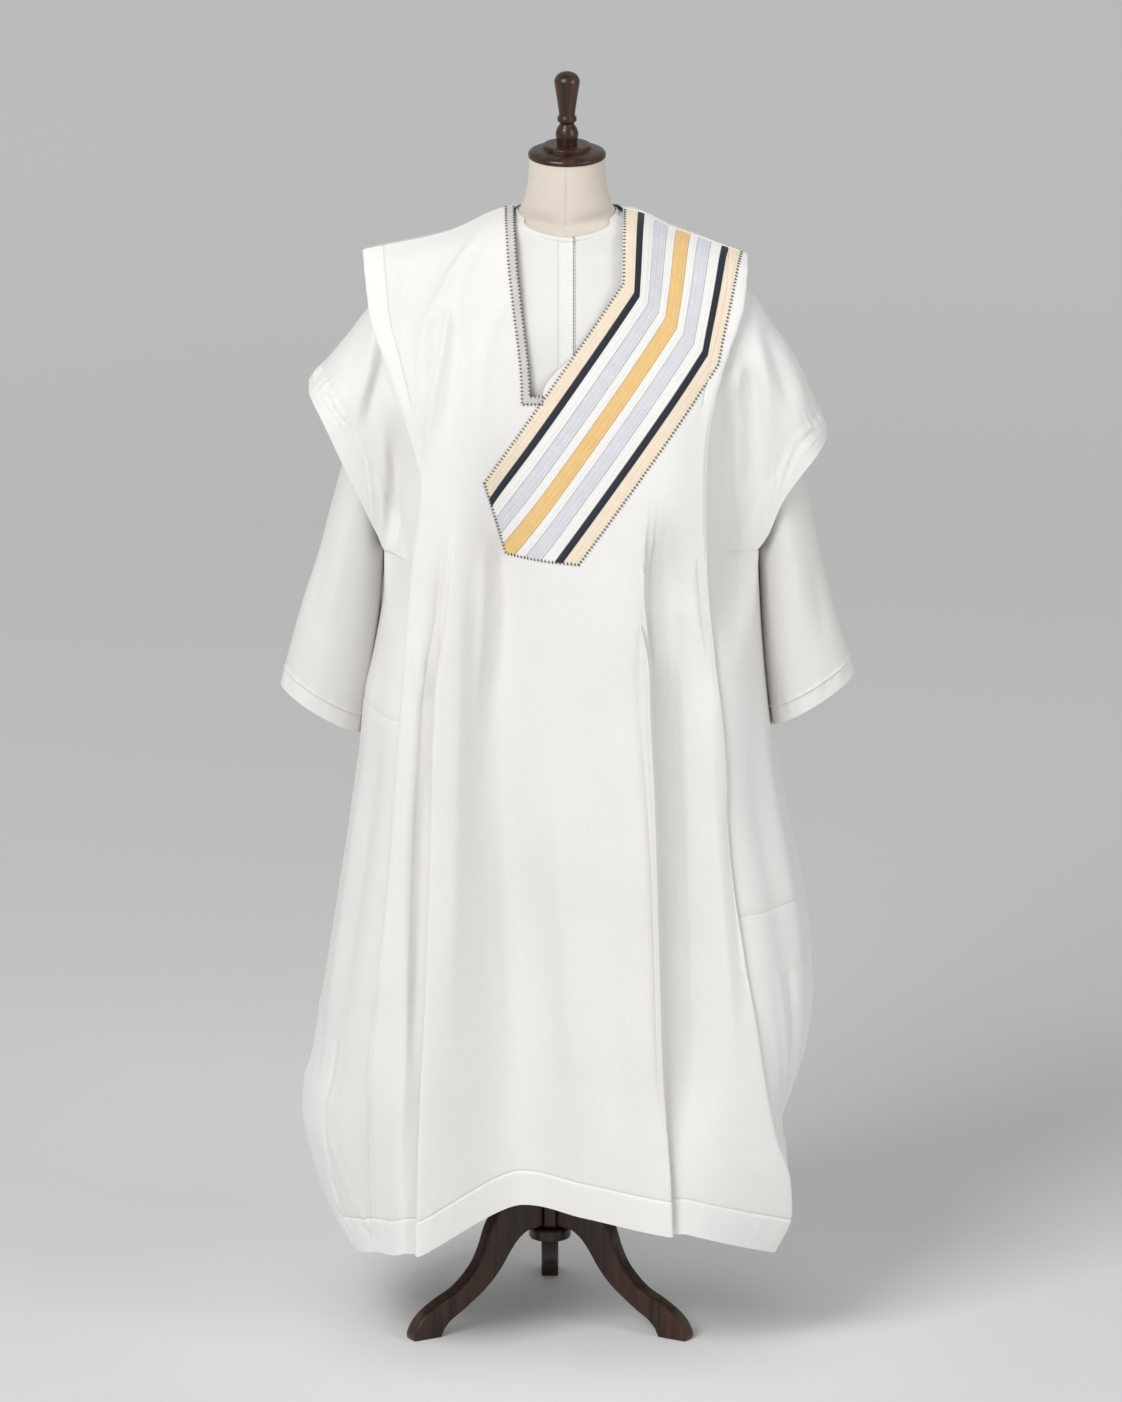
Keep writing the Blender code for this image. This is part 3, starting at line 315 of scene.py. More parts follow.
# Creases, each: height (a trough's is below 0), half width, shares over which it comes and goes, its line
# The lines of the robe and the sleeves are across and height; the sides' are depth and height
FRONT_CREASES = [
    (6, 7, 0.15, 0.35, [
        (-112, 1606), (-155, 1558), (-181, 1512), (-199, 1482), (-205, 1435), (-208, 1366)]),
    (-4, 8, 0.2, 0.4, [(-128, 1600), (-172, 1548), (-200, 1500), (-217, 1455), (-222, 1395)]),
    (6, 7, 0.12, 0.3, [(-180, 1506), (-166, 1496), (-172, 1456), (-185, 1401), (-194, 1332), (-199, 1267)]),
    (-4.5, 6, 0.2, 0.4, [(-184, 1494), (-188, 1440), (-198, 1380)]),
    (-5, 10, 0.2, 0.4, [(-148, 1505), (-156, 1440), (-168, 1370), (-178, 1290)]),
    (3.5, 9, 0.3, 0.4, [(-86, 1608), (-118, 1568), (-138, 1510), (-146, 1430), (-150, 1330)]),
    (3, 10, 0.3, 0.4, [(-76, 1525), (-104, 1480), (-116, 1412), (-120, 1310)]),
    (2.5, 7, 0.3, 0.4, [(-226, 1566), (-232, 1500), (-226, 1420)]),
    (-25, 38, 0.3, 0.3, [
        (-84, 1361), (-92, 1244), (-86, 1100), (-98, 863), (-84, 658), (-74, 438), (-80, 250)]),
    (-9, 12, 0.3, 0.4, [(-88, 1210), (-91, 1150), (-89, 1097), (-94, 1000), (-99, 920)]),
    (6, 10, 0.3, 0.4, [(-111, 1190), (-114, 1097), (-119, 1000), (-124, 900)]),
    (-6, 22, 0.3, 0.4, [(-52, 746), (-40, 600), (-35, 480), (-34, 330)]),
    (5, 16, 0.3, 0.4, [(-92, 1156), (-88, 951), (-74, 775)]),
    (7, 20, 0.3, 0.3, [(-150, 1200), (-152, 1000), (-160, 700), (-172, 380)]),
    (-27, 36, 0.2, 0.25, [(146, 1240), (146, 1097), (152, 863), (161, 658), (169, 438), (176, 250)]),
    (7, 14, 0.2, 0.3, [(196, 1000), (206, 800), (222, 600), (240, 400)]),
    (-6, 14, 0.3, 0.3, [(222, 860), (240, 660), (256, 460)]),
    (4, 9, 0.4, 0.4, [(-268, 500), (-275, 420), (-281, 340)]),
    (5, 10, 0.4, 0.4, [(-222, 740), (-226, 480), (-240, 250)]),
    (-6, 12, 0.3, 0.3, [(-200, 900), (-208, 640), (-220, 380)]),
    (4, 10, 0.4, 0.4, [(-217, 1060), (-205, 990), (-196, 950)]),
    (-7, 24, 0.4, 0.3, [(30, 1000), (52, 760), (62, 520), (60, 260)]),
    (6, 20, 0.4, 0.3, [(-20, 930), (-10, 700), (8, 480), (14, 260)]),
    (6, 22, 0.4, 0.3, [(100, 1000), (104, 760), (108, 500), (112, 280)]),
]
BACK_CREASES = [
    (-8, 26, 0.3, 0.4, [(-104, 1380), (-112, 1240), (-110, 1000), (-104, 760), (-98, 420)]),
    (-7, 26, 0.3, 0.4, [(100, 1380), (108, 1220), (112, 980), (118, 720), (124, 400)]),
    (5, 18, 0.4, 0.4, [(-10, 1180), (-6, 940), (6, 640), (12, 360)]),
    (-5, 22, 0.4, 0.4, [(40, 1100), (34, 820), (30, 520)]),
    (5, 9, 0.2, 0.4, [(-80, 1606), (-130, 1560), (-168, 1500), (-186, 1400), (-192, 1290)]),
    (5, 9, 0.2, 0.4, [(82, 1604), (130, 1566), (164, 1504), (180, 1410), (184, 1300)]),
    (-4, 9, 0.2, 0.4, [(-96, 1612), (-148, 1566), (-186, 1504), (-200, 1410)]),
    (-4, 9, 0.2, 0.4, [(98, 1610), (146, 1570), (182, 1508), (196, 1412)]),
    (3, 10, 0.4, 0.4, [(-222, 900), (-236, 640), (-250, 400)]),
    (3, 10, 0.4, 0.4, [(214, 960), (232, 700), (254, 440)]),
]
TIER_CREASES = {
    -1: [
        (5, 9, 0.2, 0.4, [(-258, 1486), (-267, 1452), (-276, 1407), (-289, 1359), (-297, 1318)]),
        (-5, 9, 0.2, 0.4, [(-253, 1460), (-262, 1410), (-274, 1359), (-282, 1310)]),
        (6, 12, 0.3, 0.3, [(-247, 1400), (-254, 1294), (-252, 1190)]),
        (-6, 9, 0.3, 0.3, [(-236, 1340), (-241, 1266), (-240, 1200), (-244, 1150)]),
        (-4, 12, 0.3, 0.4, [(-280, 1470), (-306, 1410), (-322, 1360)]),
        (3, 10, 0.3, 0.4, [(-300, 1430), (-318, 1380), (-330, 1350)]),
    ],
    1: [
        (-8, 11, 0.2, 0.3, [(252, 1420), (257, 1330), (256, 1170)]),
        (7, 11, 0.2, 0.3, [(238, 1430), (238, 1340), (236, 1180)]),
        (5, 11, 0.3, 0.4, [(262, 1470), (280, 1380), (288, 1280)]),
        (-5, 12, 0.3, 0.4, [(268, 1480), (300, 1400), (322, 1320)]),
        (-4, 9, 0.3, 0.4, [(222, 1380), (220, 1300), (222, 1200)]),
        (4, 10, 0.3, 0.4, [(284, 1460), (318, 1390), (340, 1330)]),
    ],
}
SIDE_CREASES = {
    -1: [
        (6, 20, 0.4, 0.3, [(-60, 1080), (-74, 820), (-90, 560), (-96, 330)]),
        (-5, 20, 0.4, 0.3, [(-110, 980), (-124, 700), (-136, 400)]),
        (6, 22, 0.4, 0.3, [(64, 1080), (80, 820), (96, 560), (104, 330)]),
        (-5, 20, 0.4, 0.3, [(112, 960), (128, 700), (138, 420)]),
        (4, 16, 0.4, 0.4, [(-20, 1040), (-26, 860), (-30, 640)]),
    ],
    1: [
        (6, 20, 0.4, 0.3, [(-62, 1070), (-80, 820), (-92, 600), (-100, 360)]),
        (-5, 20, 0.4, 0.3, [(-112, 940), (-126, 700), (-134, 420)]),
        (6, 22, 0.4, 0.3, [(60, 1080), (74, 820), (92, 580), (100, 340)]),
        (-5, 20, 0.4, 0.3, [(112, 960), (126, 700), (132, 420)]),
        (4, 16, 0.4, 0.4, [(16, 1040), (24, 860), (30, 680)]),
    ],
}
SLEEVE_CREASES = {
    -1: [
        (-3, 12, 0.4, 0.4, [(-300, 1230), (-318, 1120), (-336, 1010)]),
        (3, 11, 0.4, 0.4, [(-330, 1180), (-350, 1080), (-364, 985)]),
    ],
    1: [
        (-3, 12, 0.4, 0.4, [(300, 1220), (318, 1120), (334, 1010)]),
        (3, 11, 0.4, 0.4, [(338, 1160), (354, 1060), (366, 990)]),
    ],
}
# The robe's two cloths: threads, creases, which way each faces, the lines between its threads, and
# the rows that its neckline cuts away
ROBE = {
    "front": (FRONT_THREADS, FRONT_CREASES, -1, (32, 20, 22), SHOULDER_ROWS - 1),
    "back": (BACK_THREADS, BACK_CREASES, 1, (22, 20, 22), 18),
}
# Cloth: the weft's ridges beside the warp's, how its slubs are drawn out and how high they stand, and
# how much soiling and a hem's doubled cloth change its colour
WEFT_HEIGHT = 0.55
SLUB_SCALES = ((700, 25, 1), (25, 700, 1))
SLUB_HEIGHT = 4
SOILING = 0.5
HEM_FULLER = 0.45
# Silk ribbon: spacing of its cords and of its fine warp in millimetres
CORD_SPACING, SILK_SPACING = 1.1, 0.7
SILK_HEIGHT = 0.3
# Painted shade: how much darker the grooves between the cords are painted than the raised cords
CORD_GROOVE_PAINTED_SHADE = -0.12
WALNUT_TONES = ((0.011, 0.0045, 0.0025), (0.062, 0.024, 0.011))

# The camera and the lamps, in metres
CAMERA_AIM = (-0.0084, 0, 0.9036)
CAMERA_LIFT = 17
CAMERA_FAR = 60
LENS = 1100
FILM = 36
FLOOR_REACH = 30
FLOOR_PAINTED_REACH = 6.5         # the floor's painted light changes as far out as this: shares of it, and greys
FLOOR_PAINTED_LIGHT = [(0.03, 0.74), (0.12, 0.65), (0.32, 0.60), (0.5, 0.615), (1.0, 0.755)]
FLOOR_BLUE = 1.003
SKY = 0.50
LAMP_AIM = (0, 0, 0.95)
# Each lamp's place, width and height, watts and tint
LAMPS = [
    ("key", (-4.0, -5.7, 6.9), (4.2, 4.2), 590, (1.0, 0.997, 0.99)),
    ("fill", (6.2, -4.3, 3.6), (3.4, 3.4), 160, (1.0, 0.998, 0.99)),
]


def lengths(points, axis=0):
    """How far each point lies along its line from the line's first point."""
    first = np.take(points, [0], axis=axis)
    return np.cumsum(np.linalg.norm(np.diff(points, axis=axis, prepend=first), axis=-1), axis=axis)


def smooth(share):
    """A share from 0 to 1 that starts and ends gently."""
    share = np.clip(share, 0, 1)
    return share * share * (3 - 2 * share)


def curve(knots, values, at):
    """A smooth curve through the knots that never overshoots them."""
    knots, values, at = np.asarray(knots, float), np.asarray(values, float), np.asarray(at, float)
    if knots[0] > knots[-1]:
        knots, values = knots[::-1], values[::-1]
    step = np.diff(knots)
    rise = np.diff(values) / step
    slope = np.zeros(len(knots))
    slope[0], slope[-1] = rise[0], rise[-1]
    for i in range(1, len(knots) - 1):
        if rise[i - 1] * rise[i] > 0:
            before, after = 2 * step[i] + step[i - 1], step[i] + 2 * step[i - 1]
            slope[i] = (before + after) / (before / rise[i - 1] + after / rise[i])
    at = np.clip(at, knots[0], knots[-1])
    place = np.clip(np.searchsorted(knots, at, side="right") - 1, 0, len(step) - 1)
    share = (at - knots[place]) / step[place]
    h00 = (1 + 2 * share) * (1 - share) ** 2
    h10 = share * (1 - share) ** 2
    h01 = share ** 2 * (3 - 2 * share)
    h11 = share ** 2 * (share - 1)
    return (h00 * values[place] + h10 * step[place] * slope[place]
            + h01 * values[place + 1] + h11 * step[place] * slope[place + 1])


def table_at(table, column, at):
    """A table's column at a value of its first column."""
    rows = np.array(table, float)
    return curve(rows[:, 0], rows[:, column], at)


def dense_thread(rows):
    """A thread as many points along its length: the lengths, and height, across and depth."""
    table = np.array(rows, float)
    length = lengths(table)
    fine = np.linspace(0, length[-1], THREAD_POINTS)
    return fine, np.stack([curve(length, table[:, k], fine) for k in range(3)], axis=1)


def thread_at(rows, height):
    """Across and depth of a thread at a height."""
    _, dense = dense_thread(rows)
    return np.interp(-height, -dense[:, 0], dense[:, 1]), np.interp(-height, -dense[:, 0], dense[:, 2])


def thread_points(rows):
    """One thread from the shoulder, along its length, then level by level to the hem."""
    fine, dense = dense_thread(rows)
    foot = np.interp(-NECK_FOOT, -dense[:, 0], fine)
    shoulder = foot * np.linspace(0, 1, SHOULDER_ROWS) ** SHOULDER_CROWD
    hem = dense[-1, 0]
    levels = np.arange(LEVEL_TOP, LEVEL_FOOT, -LEVEL_STEP, dtype=float)
    falling = np.linspace(LEVEL_FOOT, hem + HEM_ROWS[0], FALL_ROWS)[:-1]
    heights = np.r_[levels, falling, hem + np.array(HEM_ROWS)]
    along = np.r_[shoulder, np.interp(-heights, -dense[:, 0], fine)]
    z, x, y = (np.interp(along, fine, dense[:, k]) for k in range(3))
    z[SHOULDER_ROWS:] = heights
    return np.stack([x, y, z], axis=1)


def spread(left, right, before, after, share):
    """Points between two threads, on a smooth curve through their neighbours too."""
    rises = (left - before, right - left, after - right)

    def slope(one, two):
        same = one * two > 0
        return np.where(same, 2 * one * two / np.where(same, one + two, 1), 0)

    start, end = slope(rises[0], rises[1]), slope(rises[1], rises[2])
    back = 1 - share
    return ((1 + 2 * share) * back ** 2 * left + share * back ** 2 * start
            + share ** 2 * (3 - 2 * share) * right - share ** 2 * back * end)


def along_steps(steps, count):
    """A row of across and depth steps as so many points of one rounded line."""
    table = np.array(steps, float)
    length = lengths(table)
    at = np.linspace(0, length[-1], count)
    return np.stack([curve(length, table[:, k], at) for k in range(2)], axis=1)


def pleat_columns(thread, open_lines, following, name, towards, forward):
    """The lines of a pressed pleat, which opens flat above its start."""
    start, stepped, lapped = PLEATS[name]
    height = thread[:, 2]
    step = smooth((start - height) / (start - stepped))
    lap = smooth((stepped - height) / (stepped - lapped))[:, None]
    lean = -forward * (following[:, 1] - thread[:, 1]) / np.abs(following[:, 0] - thread[:, 0])
    columns = []
    for open_line, (folded_at, depth) in zip(open_lines, along_steps(PLEAT_STEPS, PLEAT_LINES)):
        folded = thread.copy()
        folded[:, 0] += towards * folded_at
        folded[:, 1] -= forward * np.maximum(lean, 0) * max(folded_at, 0)
        line = open_line * (1 - lap) + folded * lap
        line[:, 1] -= forward * depth * step
        columns.append(line)
    return columns


def edge_columns(thread, towards, forward):
    """A turned edge: the cloth comes round from under itself."""
    columns = []
    out = smooth(np.arange(len(thread)) / TURN_REACH)
    for across, depth in along_steps(TURNED_EDGE, EDGE_LINES):
        line = thread.copy()
        line[:, 0] += towards * across
        line[:, 1] -= forward * depth * out
        line[:, 2] -= depth * (1 - out)
        columns.append(line)
    return columns


def body_panel(threads, forward, fills):
    """Grid of one whole panel from edge to edge, and the columns of its neck opening."""
    lines = [thread_points(rows) for rows in threads.values()]
    columns, mark = [], {}

    def between(i, share):
        before = lines[i - 1] if i else lines[i] * 2 - lines[i + 1]
        after = lines[i + 2] if i + 2 < len(lines) else lines[i + 1] * 2 - lines[i]
        return spread(lines[i], lines[i + 1], before, after, share)

    def fill(i, count):
        columns.extend(between(i, k / count) for k in range(1, count))

    def fill_beside_pleat(i, shares, pleat_end, pleat_first):
        """Fills from the next thread to a pleat's end line, evenly whatever the pleat takes up."""
        open_end = PLEAT_OPEN[forward] if pleat_first else 1 - PLEAT_OPEN[forward]
        far_end = 1 if pleat_first else 0
        moved = pleat_end - between(i, open_end)
        made = [between(i, far_end + (open_end - far_end) * share) + moved * share ** 2 for share in shares]
        columns.extend(made[::-1] if pleat_first else made)

    def pleat(i, name, towards, following):
        shares = np.linspace(-1, 1, PLEAT_LINES) * PLEAT_OPEN[forward] * towards
        opened = [between(i, s) if s > 0 else between(i - 1, 1 + s) for s in shares]
        return pleat_columns(lines[i], opened, following, name, towards, forward)

    chest_fill, neck_fill, side_fill = fills
    left_pleat = pleat(1, "left fold", 1, between(1, PLEAT_NEXT))
    right_pleat = pleat(4, "right fold", -1, between(3, 1 - PLEAT_NEXT))
    columns += edge_columns(lines[0], 1, forward)
    fill_beside_pleat(0, EDGE_SHARES, left_pleat[0], False)
    columns += left_pleat
    fill_beside_pleat(1, even_shares(chest_fill), left_pleat[-1], True)
    mark["neck left"] = len(columns)
    columns.append(lines[2])
    fill(2, neck_fill)
    mark["neck right"] = len(columns)
    columns.append(lines[3])
    fill_beside_pleat(3, even_shares(side_fill), right_pleat[-1], False)
    columns += right_pleat[::-1]
    fill_beside_pleat(4, EDGE_SHARES, right_pleat[0], True)
    columns += edge_columns(lines[5], -1, forward)[::-1]
    return np.stack(columns, axis=1), mark


def even_shares(count):
    """Even shares of the way between two threads."""
    return np.arange(1, count) / count


def shoulder_hems(grid, normals):
    """The hem turned along both outer edges of the shoulder, and how far each point lies in it."""
    hemmed = np.zeros(grid.shape[:2])
    high, low = CAP_HEM_ENDS
    run_out = smooth((grid[:, :, 2] - low) / (high - low))
    seam = EDGE_LINES + CAP_SEAM
    moved = np.zeros(grid.shape[:2])
    for columns in (np.arange(grid.shape[1]), np.arange(grid.shape[1])[::-1]):
        hemmed[:, columns[:seam]] = run_out[:, columns[:seam]]
        moved[:, columns[:seam]] = HEM_RISE
        for step, rise in CAP_SEAM_RISE:
            moved[:, columns[seam + step]] = rise
    down = lengths(grid)
    short, long = CAP_PULL_LENGTHS
    pull = CAP_PULL * np.sin(down * 2 * math.pi / short + np.sin(down / long) * 2) * hemmed
    return grid + normals * (moved * run_out + pull)[..., None], hemmed


def grid_normals(grid):
    """The outward direction at each point of a grid."""
    across = np.gradient(grid, axis=1)
    down = np.gradient(grid, axis=0)
    normals = np.cross(down, across)
    return normals / np.maximum(np.linalg.norm(normals, axis=2, keepdims=True), LEAST_LENGTH)


def crease(grid, normals, table, axes=(0, 2), only=None):
    """Moves the cloth along its normals: a soft ridge or trough along each row's line.

    A row holds the height of the ridge (a trough is below 0), its half width, the shares of its
    line over which it fades in and out, and the points of its line in the two axes.
    """
    flat = grid[:, :, axes]
    moved = np.zeros(grid.shape[:2])
    for height, half, fade_start, fade_end, line in table:
        knots = np.array(line, float)
        share = np.linspace(0, 1, CREASE_POINTS)
        at = np.linspace(0, 1, len(knots))
        path = np.stack([curve(at, knots[:, k], share) for k in range(2)], axis=1)
        nearest = np.full(grid.shape[:2], np.inf)
        along = np.zeros(grid.shape[:2])
        for i in range(CREASE_POINTS - 1):
            run = path[i + 1] - path[i]
            place = np.clip(((flat - path[i]) @ run) / (run @ run), 0, 1)
            far = np.linalg.norm(flat - path[i] - place[..., None] * run, axis=2)
            closer = far < nearest
            nearest[closer] = far[closer]
            along[closer] = (i + place[closer]) / (CREASE_POINTS - 1)
        shape = np.exp(-np.abs(nearest / half) ** CREASE_ROUND)
        shape *= smooth(along / max(fade_start, LEAST_FADE))
        shape *= smooth((1 - along) / max(fade_end, LEAST_FADE))
        moved += height * shape
    if only is not None:
        moved *= only
    return grid + normals * moved[..., None]


def unevenness(grid, normals, height, size, seed):
    """A slight natural waviness of hung cloth, the same each time."""
    waves = np.random.default_rng(seed)
    moved = np.zeros(grid.shape[:2])
    for _ in range(WAVES):
        turn = waves.uniform(0, 2 * math.pi)
        long = size * waves.uniform(*WAVE_LENGTHS)
        lean = waves.uniform(-WAVE_LEAN, WAVE_LEAN)
        push = np.array([math.cos(turn), lean, math.sin(turn) * WAVE_FALL]) / long
        phase = waves.uniform(0, 2 * math.pi)
        moved += np.sin(2 * math.pi * (grid @ push) + phase) * waves.uniform(*WAVE_HEIGHTS)
    return grid + normals * (moved * height / WAVE_SUM)[..., None]


def turn_hem(grid, distance, seed, kind, depth=HEM_DEPTH):
    """The doubled cloth of a hem: a slight step, a sunken seam line, and the seam's faint puckers."""
    doubled = smooth((depth - distance) / HEM_STEP)
    sunk = np.exp(-((distance - depth) / SEAM_WIDTH) ** 2)
    waves = np.random.default_rng(seed)
    along = lengths(grid, 1)
    ripple = np.zeros(grid.shape[:2])
    for _ in range(PUCKERS):
        long = waves.uniform(*PUCKER_LENGTHS)
        phase = waves.uniform(0, 2 * math.pi)
        ripple += np.sin(2 * math.pi * along / long + phase + distance / PUCKER_LEAN)
    middle, half = PUCKER_PLACE
    reach = np.exp(-((distance - depth * middle) / (depth * half)) ** 2)
    moved = HEM_RISE * doubled - SEAM_DEPTH * sunk + PUCKERED[kind] * ripple / 2 * reach
    return grid + grid_normals(grid) * moved[..., None]


def cloth(name, grid, normals, finish, keep=None, wall=CLOTH, hem=None):
    """Closes a grid of outer points into thin cloth with its weave's own map."""
    rows, columns = grid.shape[:2]
    if keep is None:
        keep = np.ones((rows - 1, columns - 1), bool)
    used = np.zeros((rows, columns), bool)
    for r, c in ((0, 0), (1, 0), (0, 1), (1, 1)):
        used[r:rows - 1 + r, c:columns - 1 + c] |= keep
    number = np.cumsum(used).reshape(rows, columns) - 1
    count = int(used.sum())
    points = np.concatenate([grid[used], (grid - normals * wall)[used]]) * MM
    across = lengths(grid, 1)
    across -= across[:, columns // 2, None]
    down = lengths(grid)
    weave = np.stack([across[used], down[used]], axis=1) * MM
    cells = np.argwhere(keep)

    def corners(r, c):
        return number[cells[:, 0] + r, cells[:, 1] + c]

    ring = [corners(0, 0), corners(1, 0), corners(1, 1), corners(0, 1)]
    faces = [np.stack(ring, axis=1), np.stack([ring[0], *ring[:0:-1]], axis=1) + count]
    padded = np.pad(keep, 1)
    for i, (r, c) in enumerate(((0, -1), (1, 0), (0, 1), (-1, 0))):
        rim = ~padded[cells[:, 0] + 1 + r, cells[:, 1] + 1 + c]
        a, b = ring[i][rim], ring[(i + 1) % 4][rim]
        faces.append(np.stack([b, a, a + count, b + count], axis=1))
    faces = np.concatenate(faces)
    mesh = bpy.data.meshes.new(name)
    mesh.from_pydata(points.tolist(), [], faces.tolist())
    weave_map(mesh, np.tile(weave, (2, 1)))
    doubled = mesh.attributes.new("doubled", "FLOAT", "POINT")
    values = np.zeros((rows, columns)) if hem is None else hem
    doubled.data.foreach_set("value", np.tile(values[used], 2))
    return shown(name, mesh, finish, CLOTH_SHARP)


def weave_map(mesh, flat):
    """Lays the weave on a mesh by each point's place along the cloth, in metres."""
    loops = np.empty(len(mesh.loops), np.int32)
    mesh.loops.foreach_get("vertex_index", loops)
    mesh.uv_layers.new(name="weave").data.foreach_set("uv", flat[loops].ravel())


def shown(name, mesh, finish, sharp):
    """A mesh as an object of one finish, smooth but for its sharp edges."""
    mesh.shade_smooth()
    mesh.set_sharp_from_angle(angle=math.radians(sharp))
    mesh.materials.append(finish)
    made = bpy.data.objects.new(name, mesh)
    bpy.context.collection.objects.link(made)
    return made


def done(piece, *nodes, slot):
    """Puts a finished piece in its node's place."""
    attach(piece, "root")
    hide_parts(*nodes)


def robe_panel(word):
    """The robe's front or back, one cloth from edge to edge with its neck cut out."""
    threads, creases, forward, fills, neck_rows = ROBE[word]
    grid, mark = body_panel(threads, forward, fills)
    last = grid.shape[1] - 1
    neck = slice(mark["neck left"], mark["neck right"])
    if forward > 0:
        grid, neck = grid[:, ::-1], slice(last - neck.stop, last - neck.start)
    normals = grid_normals(grid)
    normals[0, :, 1] = 0
    grid[0, :, 1] += forward * SEAM_GAP
    grid = crease(grid, normals, creases)
    grid = unevenness(grid, normals, *HUNG[word], SEED[word])
    above = grid[:, :, 2] - grid[-1:, :, 2]
    grid = turn_hem(grid, above, SEED[f"{word} hem"], "robe")
    grid, shoulder = shoulder_hems(grid, grid_normals(grid))
    normals = grid_normals(grid)
    normals[0, :, 1] = 0
    keep = np.ones((grid.shape[0] - 1, last), bool)
    keep[:neck_rows, neck] = False
    hemmed = np.maximum(smooth((HEM_DEPTH - above) / HEM_FADE), shoulder)
    piece = cloth(f"robe_{word}_cloth", grid, normals, WHITE_COTTON, keep, hem=hemmed)
    done(piece, f"robe_{word}", slot="white_cloth")
    return grid, mark


def tier_inside(side, height):
    """Where the second tier ends beside the body, outward and deep."""
    held_out, held_deep = under_edge(side, height)
    high, low = EDGE_HOLDS
    hold = smooth((high - height) / (high - low))
    free_out = abs(TIER[side][0][0])
    return (free_out + (held_out - free_out) * hold,
            table_at(TIER_INSIDE, 1, TIER[side][0][1] - height) * (1 - hold) + held_deep * hold)


def under_edge(side, height, threads=FRONT_THREADS):
    """Across and depth of the line where the side's cloth ends, hidden under the robe's edge."""
    across, depth = thread_at(threads["left edge" if side < 0 else "right edge"], height)
    return side * across - TURNED_EDGE[0][0] - EDGE_INSET, np.abs(depth) - TURNED_EDGE[0][1] - UNDER_EDGE


def tier_depth(side, outward, height, turn):
    """Depth of the second tier: it rounds over its ridge, and turns in beside the body."""
    inner_out, inner_deep = tier_inside(side, height)
    ridge = table_at(sorted((abs(x), z) for x, z, _ in TIER[side]), 1, outward)
    drop = np.clip((ridge - height) / TIER_ROUND, 0, 1)
    full = np.where(turn < 0, table_at(TIER_OUTSIDE, 1, height), table_at(TIER_OUTSIDE, 2, height))
    outer_deep = full * np.sqrt(drop * (2 - drop))
    return inner_deep + (outer_deep - inner_deep) * smooth((outward - inner_out) / TIER_TURN)


def tier(side, word, seed):
    """The second tier over the arm, from the body out to its hem, front and back over its ridge."""
    stations = sorted((abs(x), ridge, hem) for x, ridge, hem in TIER[side])
    outs, ridges, hems = (np.array(column, float) for column in zip(*stations))
    turn = np.linspace(-1, 1, 2 * TIER_LINES + 1)
    beside, beyond = TIER_STOPS
    stops = np.r_[np.linspace(outs[0], outs[2], beside)[:-1], np.linspace(outs[2], outs[-1], beyond)]
    columns, to_hem = [], []
    for outward in stops:
        ridge = curve(outs, ridges, outward)
        hem = curve(outs, hems, outward)
        height = ridge - (ridge - hem) * np.abs(turn) ** TIER_CROWD
        out = np.full(len(turn), float(outward))
        if outward < outs[2]:
            inner_out, _ = tier_inside(side, height)
            out = inner_out + (outs[2] - inner_out) * (outward - outs[0]) / (outs[2] - outs[0])
        depth = tier_depth(side, out, height, turn)
        columns.append(np.stack([side * out, np.sign(turn) * depth, height], axis=1))
        to_hem.append(tier_hem_distance(outs, hems, out, height))
    grid = np.stack(columns, axis=1)[::-side]
    distance = np.stack(to_hem, axis=1)[::-side]
    normals = grid_normals(grid)
    facing = np.where(grid[:, :, 1] < 0, 1.0, TIER_BACK_CREASED)
    grid = crease(grid, normals, TIER_CREASES[side], only=facing)
    grid = unevenness(grid, normals, *HUNG["tier"], seed)
    grid = turn_hem(grid, distance, seed + 1, "tier", TIER_HEM)
    piece = cloth(f"tier_{word}_cloth", grid, grid_normals(grid), WHITE_COTTON,
                  hem=smooth((TIER_HEM - distance) / HEM_FADE))
    done(piece, f"tier_{word}", slot="white_cloth")


def tier_hem_distance(outs, hems, out, height):
    """Distance in front view to the tier's lower edge, past its level stretch beside the body."""
    line = np.stack([outs[2:], hems[2:]], axis=1)
    nearest = np.full(np.shape(out), np.inf)
    for (ax, az), (bx, bz) in zip(line[:-1], line[1:]):
        run = np.array([bx - ax, bz - az])
        share = np.clip(((out - ax) * run[0] + (height - az) * run[1]) / (run @ run), 0, 1)
        nearest = np.minimum(nearest, np.hypot(out - ax - share * run[0], height - az - share * run[1]))
    return nearest


def side_section(side, height):
    """Plan of the side at one height, from under the front's edge round to the back's."""
    halves = []
    for threads, face in ((FRONT_THREADS, -1), (BACK_THREADS, 1)):
        end_out, end_deep = under_edge(side, height, threads)
        line = max(abs(table_at(SIDE_LINE[side], 1, height)), end_out + SIDE_BULGE)
        angle = SIDE_SHARES * math.pi / 2
        round_out = end_out + (line - end_out) * np.sin(angle)
        round_deep = end_deep * np.cos(angle)
        reach = np.minimum(SIDE_SHARES / TIER_SHARE, 1)
        flat_out = end_out + (line - end_out) * reach
        past = np.maximum(SIDE_SHARES - TIER_SHARE, 0) / (1 - TIER_SHARE)
        flat_deep = end_deep + (table_at(TIER_OUTSIDE, 1, SIDE_TOP) - end_deep) * smooth(
            (flat_out - end_out) / TIER_TURN)
        flat_deep = flat_deep * (1 - past)
        turn = smooth((SIDE_TOP - height) / SIDE_EASE)
        out = flat_out + (round_out - flat_out) * turn
        deep = np.maximum(flat_deep + (round_deep - flat_deep) * turn, SLIT_HALF)
        halves.append(np.stack([side * out, face * deep, np.full(SIDE_LINES, float(height))], axis=1))
    return np.concatenate([halves[0], halves[1][::-1]])


